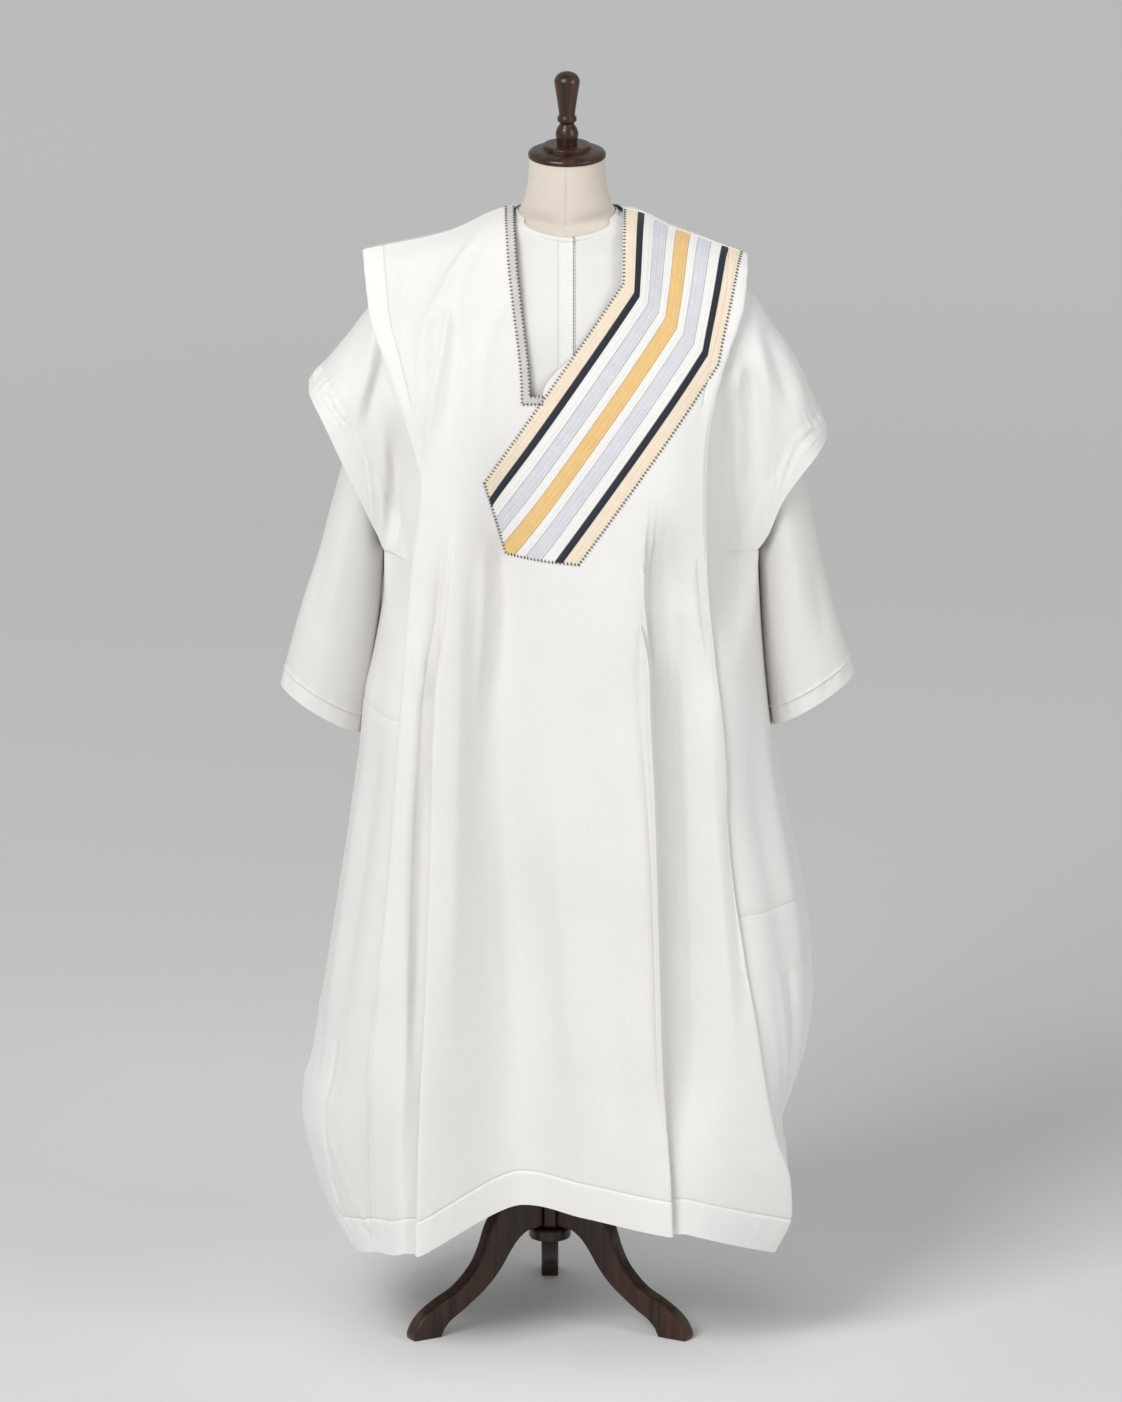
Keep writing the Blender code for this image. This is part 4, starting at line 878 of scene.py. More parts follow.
def side_pieces(side, word, seed):
    """The side panel and the gore below its seam, slit up the side's middle from the hem."""
    edge = FRONT_THREADS["left edge" if side < 0 else "right edge"]
    hem_ends, hem_middle = min(row[0] for row in edge), SIDE_LINE[side][-1][0]
    out = np.r_[SIDE_SHARES, SIDE_SHARES[::-1]]
    hem = hem_ends + (hem_middle - hem_ends) * out
    seam = CROSS_SEAM[side]
    upper = np.arange(SIDE_TOP, seam, -float(SIDE_PANEL_STEP))
    lower = np.r_[np.arange(seam, LEVEL_FOOT + SIDE_GORE_STEP / 2, -float(SIDE_GORE_STEP)), LEVEL_FOOT]
    rows = [side_section(side, z) for z in np.r_[upper, lower]]
    for share in np.linspace(0, 1, GORE_FALL + 2)[1:-1]:
        rows.append(slanted_section(side, LEVEL_FOOT + (hem + HEM_ROWS[0] - LEVEL_FOOT) * share))
    for above in HEM_ROWS:
        rows.append(slanted_section(side, hem + above))
    grid = np.stack(rows)
    if side < 0:
        grid, hem = grid[:, ::-1], hem[::-1]
    normals = grid_normals(grid)
    grid = crease(grid, normals, SIDE_CREASES[side], axes=(1, 2))
    grid = unevenness(grid, normals, *HUNG["side"], seed)
    distance = np.minimum(grid[:, :, 2] - hem, slit_distance(grid, side))
    grid = turn_hem(grid, distance, seed + 1, "side")
    normals = grid_normals(grid)
    hemmed = smooth((HEM_DEPTH - distance) / HEM_FADE)
    split = len(upper)
    spans = ((f"side_panel_{word}", 0, split), (f"side_gore_{word}", split, len(rows) - 1))
    for name, first, last in spans:
        part = grid[first:last + 1].copy()
        part[0, :, 2] -= SEAM_GAP
        part[-1, :, 2] += SEAM_GAP if last == split else 0
        out = normals[first:last + 1]
        seam_row = -1 if last == split else 0
        part[seam_row] -= out[seam_row] * SEAM_SUNK
        keep = np.ones((part.shape[0] - 1, part.shape[1] - 1), bool)
        keep[part[:-1, SIDE_LINES, 2] <= SLIT_TOP[side], SIDE_LINES - 1] = False
        piece = cloth(f"{name}_cloth", part, out, WHITE_COTTON, keep, hem=hemmed[first:last + 1])
        done(piece, name, slot="white_cloth")


def slanted_section(side, heights):
    """A row of the side whose every point has its own height."""
    steps = np.linspace(heights.min(), heights.max(), SLANT_STEPS + 1)
    sections = np.stack([side_section(side, z) for z in steps])
    place = (heights - steps[0]) / (steps[-1] - steps[0]) * SLANT_STEPS
    low = np.clip(place.astype(int), 0, SLANT_STEPS - 1)
    share = (place - low)[:, None]
    number = np.arange(len(heights))
    row = sections[low, number] * (1 - share) + sections[low + 1, number] * share
    row[:, 2] = heights
    return row


def slit_distance(grid, side):
    """Distance from the slit as its hem sees it: the hem's depth where the hem's seam runs."""
    along = lengths(grid, 1)
    middle = (along[:, SIDE_LINES - 1] + along[:, SIDE_LINES]) / 2
    seam = int(np.searchsorted(SIDE_SHARES, SLIT_SEAM))
    distance = np.abs(along - middle[:, None])
    for half, line in ((slice(0, SIDE_LINES), seam), (slice(SIDE_LINES, None), 2 * SIDE_LINES - 1 - seam)):
        distance[:, half] *= HEM_DEPTH / distance[:, line, None]
    above = np.maximum(grid[:, :, 2] - SLIT_TOP[side], 0)
    return distance + above * SLIT_RUN_OUT


def under_sleeve(side, word, seed):
    """The tunic's straight sleeve: an open tube from inside the shoulder to its hemmed cuff."""
    table = np.array(UNDER_SLEEVE[side], float)
    knots = np.arange(len(table))
    last = len(table) - 1
    length = np.linalg.norm((table[-1, :2] + table[-1, 2:4] - table[-2, :2] - table[-2, 2:4]) / 2)
    near_cuff = last - np.array(HEM_ROWS) * CUFF_HEM / HEM_DEPTH / length
    at = np.r_[np.linspace(0, near_cuff[0], SLEEVE_ROWS)[:-1], near_cuff]
    outer_x, outer_z, inner_x, inner_z, half = (curve(knots, table[:, k], at) for k in range(5))
    angles = np.linspace(0, 2 * math.pi, SLEEVE_LINES + 1)
    middle = np.stack([(outer_x + inner_x) / 2, np.zeros(len(at)), (outer_z + inner_z) / 2], axis=1)
    reach = np.stack([(outer_x - inner_x) / 2, np.zeros(len(at)), (outer_z - inner_z) / 2], axis=1)
    grid = (middle[:, None] + reach[:, None] * np.cos(angles)[None, :, None]
            + np.array([0, 1, 0]) * (half[:, None] * np.sin(angles)[None])[..., None])
    if side > 0:
        grid = grid[:, ::-1]
    normals = grid_normals(grid)
    grid = crease(grid, normals, SLEEVE_CREASES[side])
    distance = ((last - at) * length)[:, None] + np.zeros(grid.shape[:2])
    settle = smooth(np.arange(len(at)) / SLEEVE_SETTLE)[:, None, None]
    grid = grid + (unevenness(grid, normals, *HUNG["sleeve"], seed) - grid) * settle
    grid = turn_hem(grid, distance, seed + 1, "sleeve", CUFF_HEM)
    grid[:, -1] = grid[:, 0]
    normals = grid_normals(grid)
    normals[:, 0] = normals[:, -1] = (normals[:, 0] + normals[:, -1]) / 2
    piece = cloth(f"under_sleeve_{word}_cloth", grid, normals, TUNIC_COTTON,
                  hem=smooth((CUFF_HEM - distance) / HEM_FADE))
    merge_seam(piece)
    done(piece, f"under_sleeve_{word}", slot="tunic_cloth")


def merge_seam(piece):
    """Joins the first and last lines of a tube."""
    work = bmesh.new()
    work.from_mesh(piece.data)
    bmesh.ops.remove_doubles(work, verts=work.verts, dist=MERGE)
    flat = [face for face in work.faces if face.calc_area() < LEAST_FACE]
    bmesh.ops.delete(work, geom=flat, context="FACES_ONLY")
    work.to_mesh(piece.data)
    work.free()


def form_skin():
    """The form's rings rounded into each other, from the bottom up."""
    heights = np.arange(FORM[-1][0], FORM[0][0] + FORM_STEP, FORM_STEP)
    return np.stack([heights] + [table_at(FORM, column, heights) for column in (1, 2, 3)], axis=1)


def form_point(angle, height, lift=0.0):
    """A point of the form at a height, its angle measured from the front towards +X."""
    half_width, half_depth, power = (np.interp(height, FORM_SKIN[:, 0], FORM_SKIN[:, k]) for k in (1, 2, 3))
    out, fore = math.sin(angle), math.cos(angle)
    return np.array([(half_width + lift) * math.copysign(abs(out) ** (2 / power), out),
                     -(half_depth + lift) * math.copysign(abs(fore) ** (2 / power), fore), height])


def form():
    """The linen form: rings joined by a smooth skin, with a cord-thin seam down its front and back."""
    heights = np.concatenate([np.linspace(*rows) for rows in FORM_ROWS] + [FORM_FOOT])
    angles = np.linspace(0, 2 * math.pi, FORM_LINES + 1)[:-1]
    rings = np.array([[form_point(a, z) for a in angles] for z in heights])
    off_seam = np.minimum(np.abs(np.sin(angles / 2)), np.abs(np.cos(angles / 2)))
    seam = np.exp(-(off_seam * FORM_SEAM_SHARP) ** 2)
    outward = rings.copy()
    outward[:, :, 2] = 0
    outward /= np.linalg.norm(outward, axis=2, keepdims=True)
    rings -= outward * (seam * FORM_SEAM_DEPTH)[None, :, None]
    rings[-2:] *= np.array([FORM_FOOT_ROUND, FORM_FOOT_ROUND, 1])
    closed_stack("form_linen", rings[::-1], "form_torso", LINEN, "linen")


def closed_stack(name, rings, node, finish, slot):
    """A closed solid through rings from bottom to top, each from the front towards +X."""
    rows, count = rings.shape[:2]
    faces = []
    for r in range(rows - 1):
        for i in range(count):
            j = (i + 1) % count
            faces.append([r * count + i, r * count + j, (r + 1) * count + j, (r + 1) * count + i])
    caps = [list(range(count))[::-1], [(rows - 1) * count + i for i in range(count)]]
    mesh = bpy.data.meshes.new(name)
    mesh.from_pydata((rings.reshape(-1, 3) * MM).tolist(), [], faces + caps)
    flat = np.stack([lengths(rings, 1), rings[:, :, 2]], axis=2)
    weave_map(mesh, flat.reshape(-1, 2) * MM)
    done(shown(name, mesh, finish, TURNED_SHARP), node, slot=slot)


def yoke(word, face):
    """The tunic's yoke: the form's own surface, moved out, with a bound neckline."""
    angles = np.linspace(-math.pi / 2, math.pi / 2, 2 * YOKE_LINES + 1) + (math.pi if face > 0 else 0)
    columns = []
    for angle in angles:
        top = NECKLINE_SIDE + (NECKLINE[face] - NECKLINE_SIDE) * math.cos(angle) ** 2
        heights = top + (YOKE_FOOT[face] - top) * YOKE_SHARES
        columns.append([form_point(angle, z) for z in heights])
    grid = np.stack(columns, axis=1)
    normals = grid_normals(grid)
    normals[:, [0, -1], 1] = 0
    normals /= np.linalg.norm(normals, axis=2, keepdims=True)
    grid[:, [0, -1], 1] += face * SEAM_GAP
    eased = TUNIC_EASE * smooth((EASE_TOP - grid[:, :, 2:]) / EASE_DROP) if face < 0 else 0
    grid = grid + normals * (YOKE_LIFT + YOKE_CLOTH + eased)
    below = lengths(grid)
    bound = BINDING_RISE * smooth((NECK_BINDING - below) / BINDING_EDGE)
    bound -= BINDING_SUNK * np.exp(-((below - NECK_BINDING) / BINDING_EDGE) ** 2)
    grid = grid + normals * bound[..., None]
    piece = cloth(f"yoke_{word}_cloth", grid, normals, TUNIC_COTTON, wall=YOKE_CLOTH,
                  hem=smooth((NECK_BINDING - below) / BINDING_FADE))
    done(piece, f"yoke_{word}", slot="tunic_cloth")
    return grid


def edge_stitches(tree, strip, out):
    """Dark whip stitches over both edges of the neck ribbon and all round the panel of ribbons."""
    neck_paths = [(strip[:, edge] + out[:, edge] * NECK_WHIP_LIFT, out[:, edge]) for edge in (0, -1)]
    stitches("neck_ribbon_stitches", neck_paths, WHIP_PITCH, *NECK_WHIP, math.pi / 2)
    foot = [panel_line(tree, share) for share in np.linspace(0, 1, PANEL_FOOT_POINTS)]
    foot_line = np.array([line[-1] for line, _ in foot])
    foot_out = np.array([normals[-1] for _, normals in foot])
    paths = [(line + normals * PANEL_WHIP_LIFT, normals)
             for line, normals in (foot[0], foot[-1], (foot_line, foot_out))]
    stitches("panel_edge_stitches", paths, WHIP_PITCH, *PANEL_WHIP, math.pi / 2)


def placket(grid):
    """The slit strip down the front of the yoke."""
    middle = grid.shape[1] // 2
    beside = grid[:, middle - PLACKET_REACH:middle + PLACKET_REACH + 1]
    rows = []
    for across in np.linspace(-PLACKET_HALF, PLACKET_HALF, len(PLACKET_RISE)):
        line = grid[:, middle].copy()
        line[:, 0] = across
        line[:, 1] = [np.interp(across, near[:, 0], near[:, 1]) for near in beside]
        rows.append(line)
    strip = np.stack(rows, axis=1)
    out = grid_normals(strip)
    strip = strip + out * (PLACKET_GAP + YOKE_CLOTH + np.array(PLACKET_RISE))[None, :, None]
    strip, out = strip[1:-2], out[1:-2]
    piece = cloth("placket_cloth", strip, out, TUNIC_COTTON, wall=PLACKET_CLOTH,
                  hem=np.ones(strip.shape[:2]))
    done(piece, "placket", slot="tunic_cloth")
    # Dark thread stitches down the slit; they also stand in for the shadow in the slit, a painted shadow
    slit, slit_out = strip[:, PLACKET_SLIT], out[:, PLACKET_SLIT]
    stitches("placket_slit_stitches_and_shadow", [(slit + slit_out * SLIT_STITCH_LIFT, slit_out)], *SLIT_STITCH_AND_SHADOW, 0.0)


def surface_tree(grid):
    """A search tree of a panel's outer face."""
    rows, columns = grid.shape[:2]
    number = np.arange(rows * columns).reshape(rows, columns)
    quads = np.stack([number[:-1, :-1], number[1:, :-1], number[1:, 1:], number[:-1, 1:]], axis=2)
    return BVHTree.FromPolygons((grid.reshape(-1, 3) * MM).tolist(), quads.reshape(-1, 4).tolist())


def on_panel(tree, x, angle, height):
    """The panel's outer point seen from far off: above the mitre by angle, below it level."""
    eye_y, eye_z = PANEL_EYE
    if angle is not None:
        direction = Vector((0, math.cos(angle), -math.sin(angle)))
        target = Vector((x, eye_y, eye_z)) * MM
    else:
        direction = Vector((0, 1, 0))
        target = Vector((x, 0, height)) * MM
    hit, normal, _, _ = tree.ray_cast(target - direction * PANEL_EYE_FAR, direction)
    return np.array(hit) / MM, np.array(normal)


def panel_line(tree, share):
    """One line down the ribbon panel, from the shoulder round the mitre to the foot."""
    slant = np.array(PANEL_SLANT) / np.linalg.norm(PANEL_SLANT)
    top_x = PANEL_TOP[0] + (PANEL_TOP[1] - PANEL_TOP[0]) * share
    mitre = np.array(PANEL_MITRE[0]) + (np.array(PANEL_MITRE[1]) - np.array(PANEL_MITRE[0])) * share
    hit, normal = on_panel(tree, mitre[0], None, mitre[1])
    mitre_angle = math.atan2(hit[2] - PANEL_EYE[1], PANEL_EYE[0] - hit[1])
    line = []
    for down in np.linspace(0, 1, TOP_STATIONS + 1)[:-1]:
        angle = PANEL_START + (mitre_angle - PANEL_START) * down
        line.append(on_panel(tree, top_x + (mitre[0] - top_x) * down, angle, None))
    line.append((hit, normal))
    reach = PANEL_LENGTH + PANEL_POINT * (1 - abs(2 * share - 1))
    steps = round((PANEL_LENGTH + PANEL_POINT) / RIBBON_STEP)
    for i in range(1, steps + 1):
        place = mitre + slant * reach * i / steps
        line.append(on_panel(tree, place[0], None, place[1]))
    return np.array([p for p, _ in line]), np.array([n for _, n in line])


def ribbon_panel(tree):
    """The panel's ribbons, each with rounded edges and its own ribs."""
    total = sum(width for _, width in RIBBONS)
    start = 0.0
    for number, (finish, width) in enumerate(RIBBONS):
        shares = np.array([start, start + width]) / total
        start += width
        shares += np.array([1, -1]) * RIBBON_GAP / (2 * PANEL_WIDTH)
        ribs = RIBS[finish]
        place = np.linspace(0, 1, RIB_LINES * (ribs + 1) + 1)
        lines = [panel_line(tree, shares[0] + (shares[1] - shares[0]) * p) for p in place]
        grid = np.stack([points for points, _ in lines], axis=1)
        normals = np.stack([normal for _, normal in lines], axis=1)
        normals = np.roll(normals, 1, axis=0) + normals * 2 + np.roll(normals, -1, axis=0)
        normals[[0, -1]] = normals[[1, -2]]
        normals /= np.linalg.norm(normals, axis=2, keepdims=True)
        wide = (shares[1] - shares[0]) * PANEL_WIDTH
        outer = grid + normals * ribbon_rise(place, wide, ribs, *RIBBON_EDGE)[None, :, None]
        name = f"panel_ribbon_{number + 1:02d}_{finish}"
        piece = cloth(f"{name}_silk", outer, normals, RIBBON_FINISH[finish], wall=RIBBON_CLOTH)
        done(piece, name, slot=finish)


def ribbon_rise(place, wide, ribs, rounding, least):
    """How proud each line across a ribbon stands: rounded at its edges, with its ribs between."""
    edge = smooth(np.minimum(place, 1 - place) * wide / rounding)
    rib = RIB_RISE * np.cos(2 * math.pi * ribs * place)
    return RIBBON_LIFT + RIBBON_WALL * (least + (1 - least) * edge) + rib * edge


def neck_ribbon(grid, tree, mark):
    """The narrow ribbon down the neck opening's left edge and along its foot, mitred at the corner."""
    left, right = mark["neck left"], mark["neck right"]
    down = grid[:SHOULDER_ROWS, left]
    foot = grid[SHOULDER_ROWS - 1, left:right + 1]
    inner = np.concatenate([down, foot[1:]])
    outer_down = down - np.array([RIBBON_WIDTH, 0, 0])
    outer_foot = foot[1:] - np.array([0, 0, RIBBON_WIDTH])
    outer_down[-1, 2] -= RIBBON_WIDTH
    outer = np.concatenate([outer_down, outer_foot])
    columns, facing = [], []
    place = np.linspace(0, 1, NECK_LINES)
    for share in place:
        line = inner + (outer - inner) * share
        hits = [tree.find_nearest(Vector(p) * MM) for p in line]
        columns.append(np.array([np.array(hit[0]) / MM for hit in hits]))
        facing.append(np.array([np.array(hit[1]) for hit in hits]))
    strip = np.stack(columns, axis=1)[:, ::-1]
    out = np.stack(facing, axis=1)[:, ::-1]
    raised = strip + out * ribbon_rise(place, RIBBON_WIDTH, NECK_RIBS, *NECK_EDGE)[None, :, None]
    piece = cloth("neck_ribbon_silk", raised, out, RIBBON_FINISH["neck_ribbon"], wall=RIBBON_CLOTH)
    done(piece, "neck_ribbon", slot="neck_ribbon")
    return strip, out


def fill(tree, node, *values, **inputs):
    """Gives a node's inputs plain values or other nodes' outputs, by place or by name."""
    named = {key.replace("_", " "): value for key, value in inputs.items()}
    for key, value in (*enumerate(values), *named.items()):
        if isinstance(value, bpy.types.NodeSocket):
            tree.links.new(value, node.inputs[key])
        else:
            node.inputs[key].default_value = value


def add(tree, kind, *values, having=None, **inputs):
    """A node with its settings and its inputs."""
    node = tree.nodes.new(kind)
    for key, value in (having or {}).items():
        setattr(node, key, value)
    fill(tree, node, *values, **inputs)
    return node


def stitch_tree():
    """Short thread stitches laid along a path, each across it or along it."""
    tree = bpy.data.node_groups.new("edge_stitches", "GeometryNodeTree")
    face = tree.interface
    face.new_socket("Path", in_out="INPUT", socket_type="NodeSocketGeometry")
    for label, value in (("Pitch", 0.004), ("Length", 0.003), ("Thickness", 0.001), ("Turn", 1.57)):
        made = face.new_socket(label, in_out="INPUT", socket_type="NodeSocketFloat")
        made.default_value = value
    face.new_socket("Thread", in_out="INPUT", socket_type="NodeSocketMaterial")
    face.new_socket("Stitches", in_out="OUTPUT", socket_type="NodeSocketGeometry")

    given = add(tree, "NodeGroupInput").outputs
    guide = add(tree, "GeometryNodeMeshToCurve", Mesh=given["Path"]).outputs["Curve"]
    spaced = add(tree, "GeometryNodeResampleCurve", having={"mode": "LENGTH"}, Curve=guide,
                 Length=given["Pitch"]).outputs["Curve"]
    bead = add(tree, "GeometryNodeMeshUVSphere", Segments=6, Rings=4, Radius=0.5).outputs["Mesh"]
    outward = add(tree, "GeometryNodeInputNamedAttribute", having={"data_type": "FLOAT_VECTOR"},
                  Name="out").outputs["Attribute"]
    ahead = add(tree, "GeometryNodeInputTangent").outputs["Tangent"]
    upright = add(tree, "FunctionNodeAlignRotationToVector", having={"axis": "Z"},
                  Vector=outward).outputs["Rotation"]
    along = add(tree, "FunctionNodeAlignRotationToVector", having={"axis": "X", "pivot_axis": "Z"},
                Rotation=upright, Vector=ahead).outputs["Rotation"]
    angles = add(tree, "ShaderNodeCombineXYZ", Z=given["Turn"]).outputs["Vector"]
    turn = add(tree, "FunctionNodeEulerToRotation", Euler=angles).outputs["Rotation"]
    lying = add(tree, "FunctionNodeRotateRotation", having={"rotation_space": "LOCAL"},
                Rotation=along, Rotate_By=turn).outputs["Rotation"]
    size = add(tree, "ShaderNodeCombineXYZ", X=given["Length"], Y=given["Thickness"],
               Z=given["Thickness"]).outputs["Vector"]
    placed = add(tree, "GeometryNodeInstanceOnPoints", Points=spaced, Instance=bead, Rotation=lying,
                 Scale=size).outputs["Instances"]
    whole = add(tree, "GeometryNodeRealizeInstances", Geometry=placed).outputs["Geometry"]
    rounded = add(tree, "GeometryNodeSetShadeSmooth", Geometry=whole).outputs["Geometry"]
    dyed = add(tree, "GeometryNodeSetMaterial", Geometry=rounded, Material=given["Thread"])
    add(tree, "NodeGroupOutput", Stitches=dyed.outputs["Geometry"])
    return tree


def stitches(name, paths, pitch, length, thickness, turn):
    """One piece of dark stitches along paths, each of points and their outward directions."""
    points, edges, outs = [], [], []
    for path, out in paths:
        first = len(points)
        points += (np.asarray(path) * MM).tolist()
        outs += np.asarray(out).tolist()
        edges += [(first + i, first + i + 1) for i in range(len(path) - 1)]
    mesh = bpy.data.meshes.new(name + "_path")
    mesh.from_pydata(points, edges, [])
    mesh.attributes.new("out", "FLOAT_VECTOR", "POINT").data.foreach_set("vector", np.ravel(outs))
    guide = bpy.data.objects.new(name + "_path", mesh)
    bpy.context.collection.objects.link(guide)
    modifier = guide.modifiers.new("stitches", "NODES")
    modifier.node_group = STITCHES
    sockets = {item.name: item.identifier for item in STITCHES.interface.items_tree}
    sizes = {"Pitch": pitch * MM, "Length": length * MM, "Thickness": thickness * MM, "Turn": turn,
             "Thread": DARK_THREAD}
    for label, value in sizes.items():
        modifier[sockets[label]] = value
    bpy.context.view_layer.update()
    sewn = guide.evaluated_get(bpy.context.evaluated_depsgraph_get())
    made = bpy.data.objects.new(name, bpy.data.meshes.new_from_object(sewn))
    bpy.context.collection.objects.link(made)
    bpy.data.objects.remove(guide, do_unlink=True)
    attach(made, "root")


def turned(name):
    """One turned piece of the stand: its profile finely rounded, spun round its axis."""
    axis, profile = TURNED[name]
    table = np.array(profile, float)
    length = lengths(table)
    fine = np.unique(np.r_[np.linspace(0, length[-1], PROFILE_POINTS), length])
    radius, height = (curve(length, table[:, k], fine) for k in range(2))
    angles = np.linspace(0, 2 * math.pi, TURNED_LINES + 1)[:-1]
    rings = np.stack([
        axis + radius[:, None] * np.sin(angles), -radius[:, None] * np.cos(angles),
        height[:, None] + 0 * angles], axis=2)
    closed_stack(f"{name}_turned", rings, name, WALNUT, "walnut")


def leg(name, degrees):
    """One flat leg with its edges eased, cut from a plank along a swept outline."""
    turn = math.radians(degrees)
    outline = np.array(LEG_OUTLINE, float)
    length = lengths(outline)
    fine = []
    for first, last, steps in LEG_SPANS:
        part = slice(first, last + 1)
        corners = np.linspace(first, last, steps * (last - first) + 1)
        at = np.interp(corners, range(len(length)), length)
        line = np.stack([curve(length[part], outline[part, k], at) for k in range(2)], axis=1)
        fine.extend(line[first > 0:])
    points, faces = [], []
    for half in (-LEG_THICK / 2, LEG_THICK / 2):
        for radius, height in fine:
            x = radius * math.cos(turn) - half * math.sin(turn)
            y = radius * math.sin(turn) + half * math.cos(turn)
            points.append(((x + POLE_X) * MM, y * MM, max(height, 0) * MM))
    count = len(fine)
    faces.append(list(range(count))[::-1])
    faces.append([count + i for i in range(count)])
    faces += [[i, (i + 1) % count, count + (i + 1) % count, count + i] for i in range(count)]
    mesh = bpy.data.meshes.new(f"{name}_plank")
    mesh.from_pydata(points, [], faces)
    work = bmesh.new()
    work.from_mesh(mesh)
    sides = [edge for edge in work.edges if {len(face.verts) for face in edge.link_faces} == {4, count}]
    bmesh.ops.bevel(work, geom=sides, offset=LEG_BEVEL * MM, segments=3, profile=LEG_BEVEL_ROUND,
                    affect="EDGES")
    bmesh.ops.triangulate(work, faces=[face for face in work.faces if len(face.verts) > 4])
    work.to_mesh(mesh)
    work.free()
    done(shown(f"{name}_plank", mesh, WALNUT, PLANK_SHARP), name, slot="walnut")


def new_material(name):
    """A material and its nodes."""
    made = bpy.data.materials.new(name)
    made.use_nodes = True
    return made, made.node_tree


def surface(tree, **inputs):
    """Sets the shader's own sockets."""
    fill(tree, tree.nodes["Principled BSDF"], **inputs)


def maths(tree, operation, *values):
    """One sum of outputs or plain numbers."""
    return add(tree, "ShaderNodeMath", *values, having={"operation": operation}).outputs[0]


def object_place(tree):
    """The place on the piece itself, in the object's own frame."""
    return add(tree, "ShaderNodeTexCoord").outputs["Object"]


def weave_place(tree):
    """The place on the weave's own map, and how far it is across and along."""
    place = add(tree, "ShaderNodeUVMap", having={"uv_map": "weave"}).outputs["UV"]
    axes = add(tree, "ShaderNodeSeparateXYZ", place).outputs
    return place, axes["X"], axes["Y"]


def stretched(tree, place, scale):
    """A place drawn out along some of its axes."""
    return add(tree, "ShaderNodeMapping", Vector=place, Scale=scale).outputs["Vector"]


def noise(tree, place, **look):
    """Cloudy noise at a place."""
    return add(tree, "ShaderNodeTexNoise", Vector=place, **look).outputs["Fac"]


def share_within(tree, value, low, high):
    """How far a value has come from a low one to a high one."""
    return add(tree, "ShaderNodeMapRange", Value=value, From_Min=low, From_Max=high).outputs[0]


def blend(tree, amount, first, second):
    """A colour between two, by an output's amount."""
    ramp = add(tree, "ShaderNodeValToRGB", Fac=amount)
    for stop, colour in zip(ramp.color_ramp.elements, (first, second)):
        stop.color = (*colour, 1)
    return ramp.outputs["Color"]


def relief(tree, height, strength, depth):
    """The surface's direction where a pattern stands out of it, by a depth in millimetres."""
    bump = add(tree, "ShaderNodeBump", Height=height, Strength=strength, Distance=depth * MM)
    return bump.outputs["Normal"]


def woven(name, colour, shade, pitch, twill, strength, roughness=0.72, sheen=0.25, slubs=0.35):
    """Woven cloth on its own weave map: warp and weft ridges, uneven threads and faint soiling.

    Pitch is the spacing of the threads in millimetres, twill how far each weft row steps over.
    """
    made, tree = new_material(name)
    place, across, down = weave_place(tree)
    turn = 2 * math.pi / (pitch * MM)
    warp, weft = maths(tree, "MULTIPLY", across, turn), maths(tree, "MULTIPLY", down, turn)
    leaning = maths(tree, "ADD", warp, maths(tree, "MULTIPLY", weft, twill))
    crossed = maths(tree, "MULTIPLY", maths(tree, "SINE", weft), WEFT_HEIGHT)
    threads = maths(tree, "ADD", maths(tree, "SINE", leaning), crossed)
    drawn_out = [stretched(tree, place, scale) for scale in SLUB_SCALES]
    slub = [noise(tree, drawn, Scale=1.0, Detail=2.0, Roughness=0.6) for drawn in drawn_out]
    uneven = maths(tree, "ADD", *slub)
    height = maths(tree, "ADD", threads, maths(tree, "MULTIPLY", uneven, slubs * SLUB_HEIGHT))

    cloud = noise(tree, object_place(tree), Scale=5.0, Detail=4.0, Roughness=0.55)
    soiled = share_within(tree, cloud, low=0.35, high=0.7)
    thread_shade = share_within(tree, uneven, low=0.75, high=1.25)
    amount = maths(tree, "ADD", maths(tree, "MULTIPLY", soiled, SOILING),
                   maths(tree, "MULTIPLY", thread_shade, slubs))
    doubled = add(tree, "ShaderNodeAttribute", having={"attribute_name": "doubled"}).outputs["Fac"]
    fuller = maths(tree, "SUBTRACT", amount, maths(tree, "MULTIPLY", doubled, HEM_FULLER))
    surface(tree, Base_Color=blend(tree, fuller, colour, shade),
            Normal=relief(tree, height, strength, pitch / 4), Roughness=roughness,
            Sheen_Weight=sheen, Sheen_Roughness=0.45, Specular_IOR_Level=0.35)
    return made


def ribbed(name, colour, shade, sheen=0.3):
    """Corded silk ribbon: fine weft cords across its width, painted shade in the grooves between them, and
    a soft lustre.
    """
    made, tree = new_material(name)
    _, across, down = weave_place(tree)
    cord, warp = (
        maths(tree, "SINE", maths(tree, "MULTIPLY", axis, 2 * math.pi / (spacing * MM)))
        for axis, spacing in ((down, CORD_SPACING), (across, SILK_SPACING)))
    height = maths(tree, "ADD", cord, maths(tree, "MULTIPLY", warp, SILK_HEIGHT))
    worn = noise(tree, object_place(tree), Scale=60.0, Detail=4.0, Roughness=0.6)
    # Painted shade: the colour darkens in the grooves between the cords
    groove_painted_shade = maths(tree, "MULTIPLY", maths(tree, "ADD", cord, 1.0), CORD_GROOVE_PAINTED_SHADE)
    amount = maths(tree, "ADD", worn, groove_painted_shade)
    surface(tree, Base_Color=blend(tree, amount, colour, shade),
            Normal=relief(tree, height, strength=0.5, depth=0.2), Roughness=0.5,
            Sheen_Weight=sheen, Specular_IOR_Level=0.4)
    return made


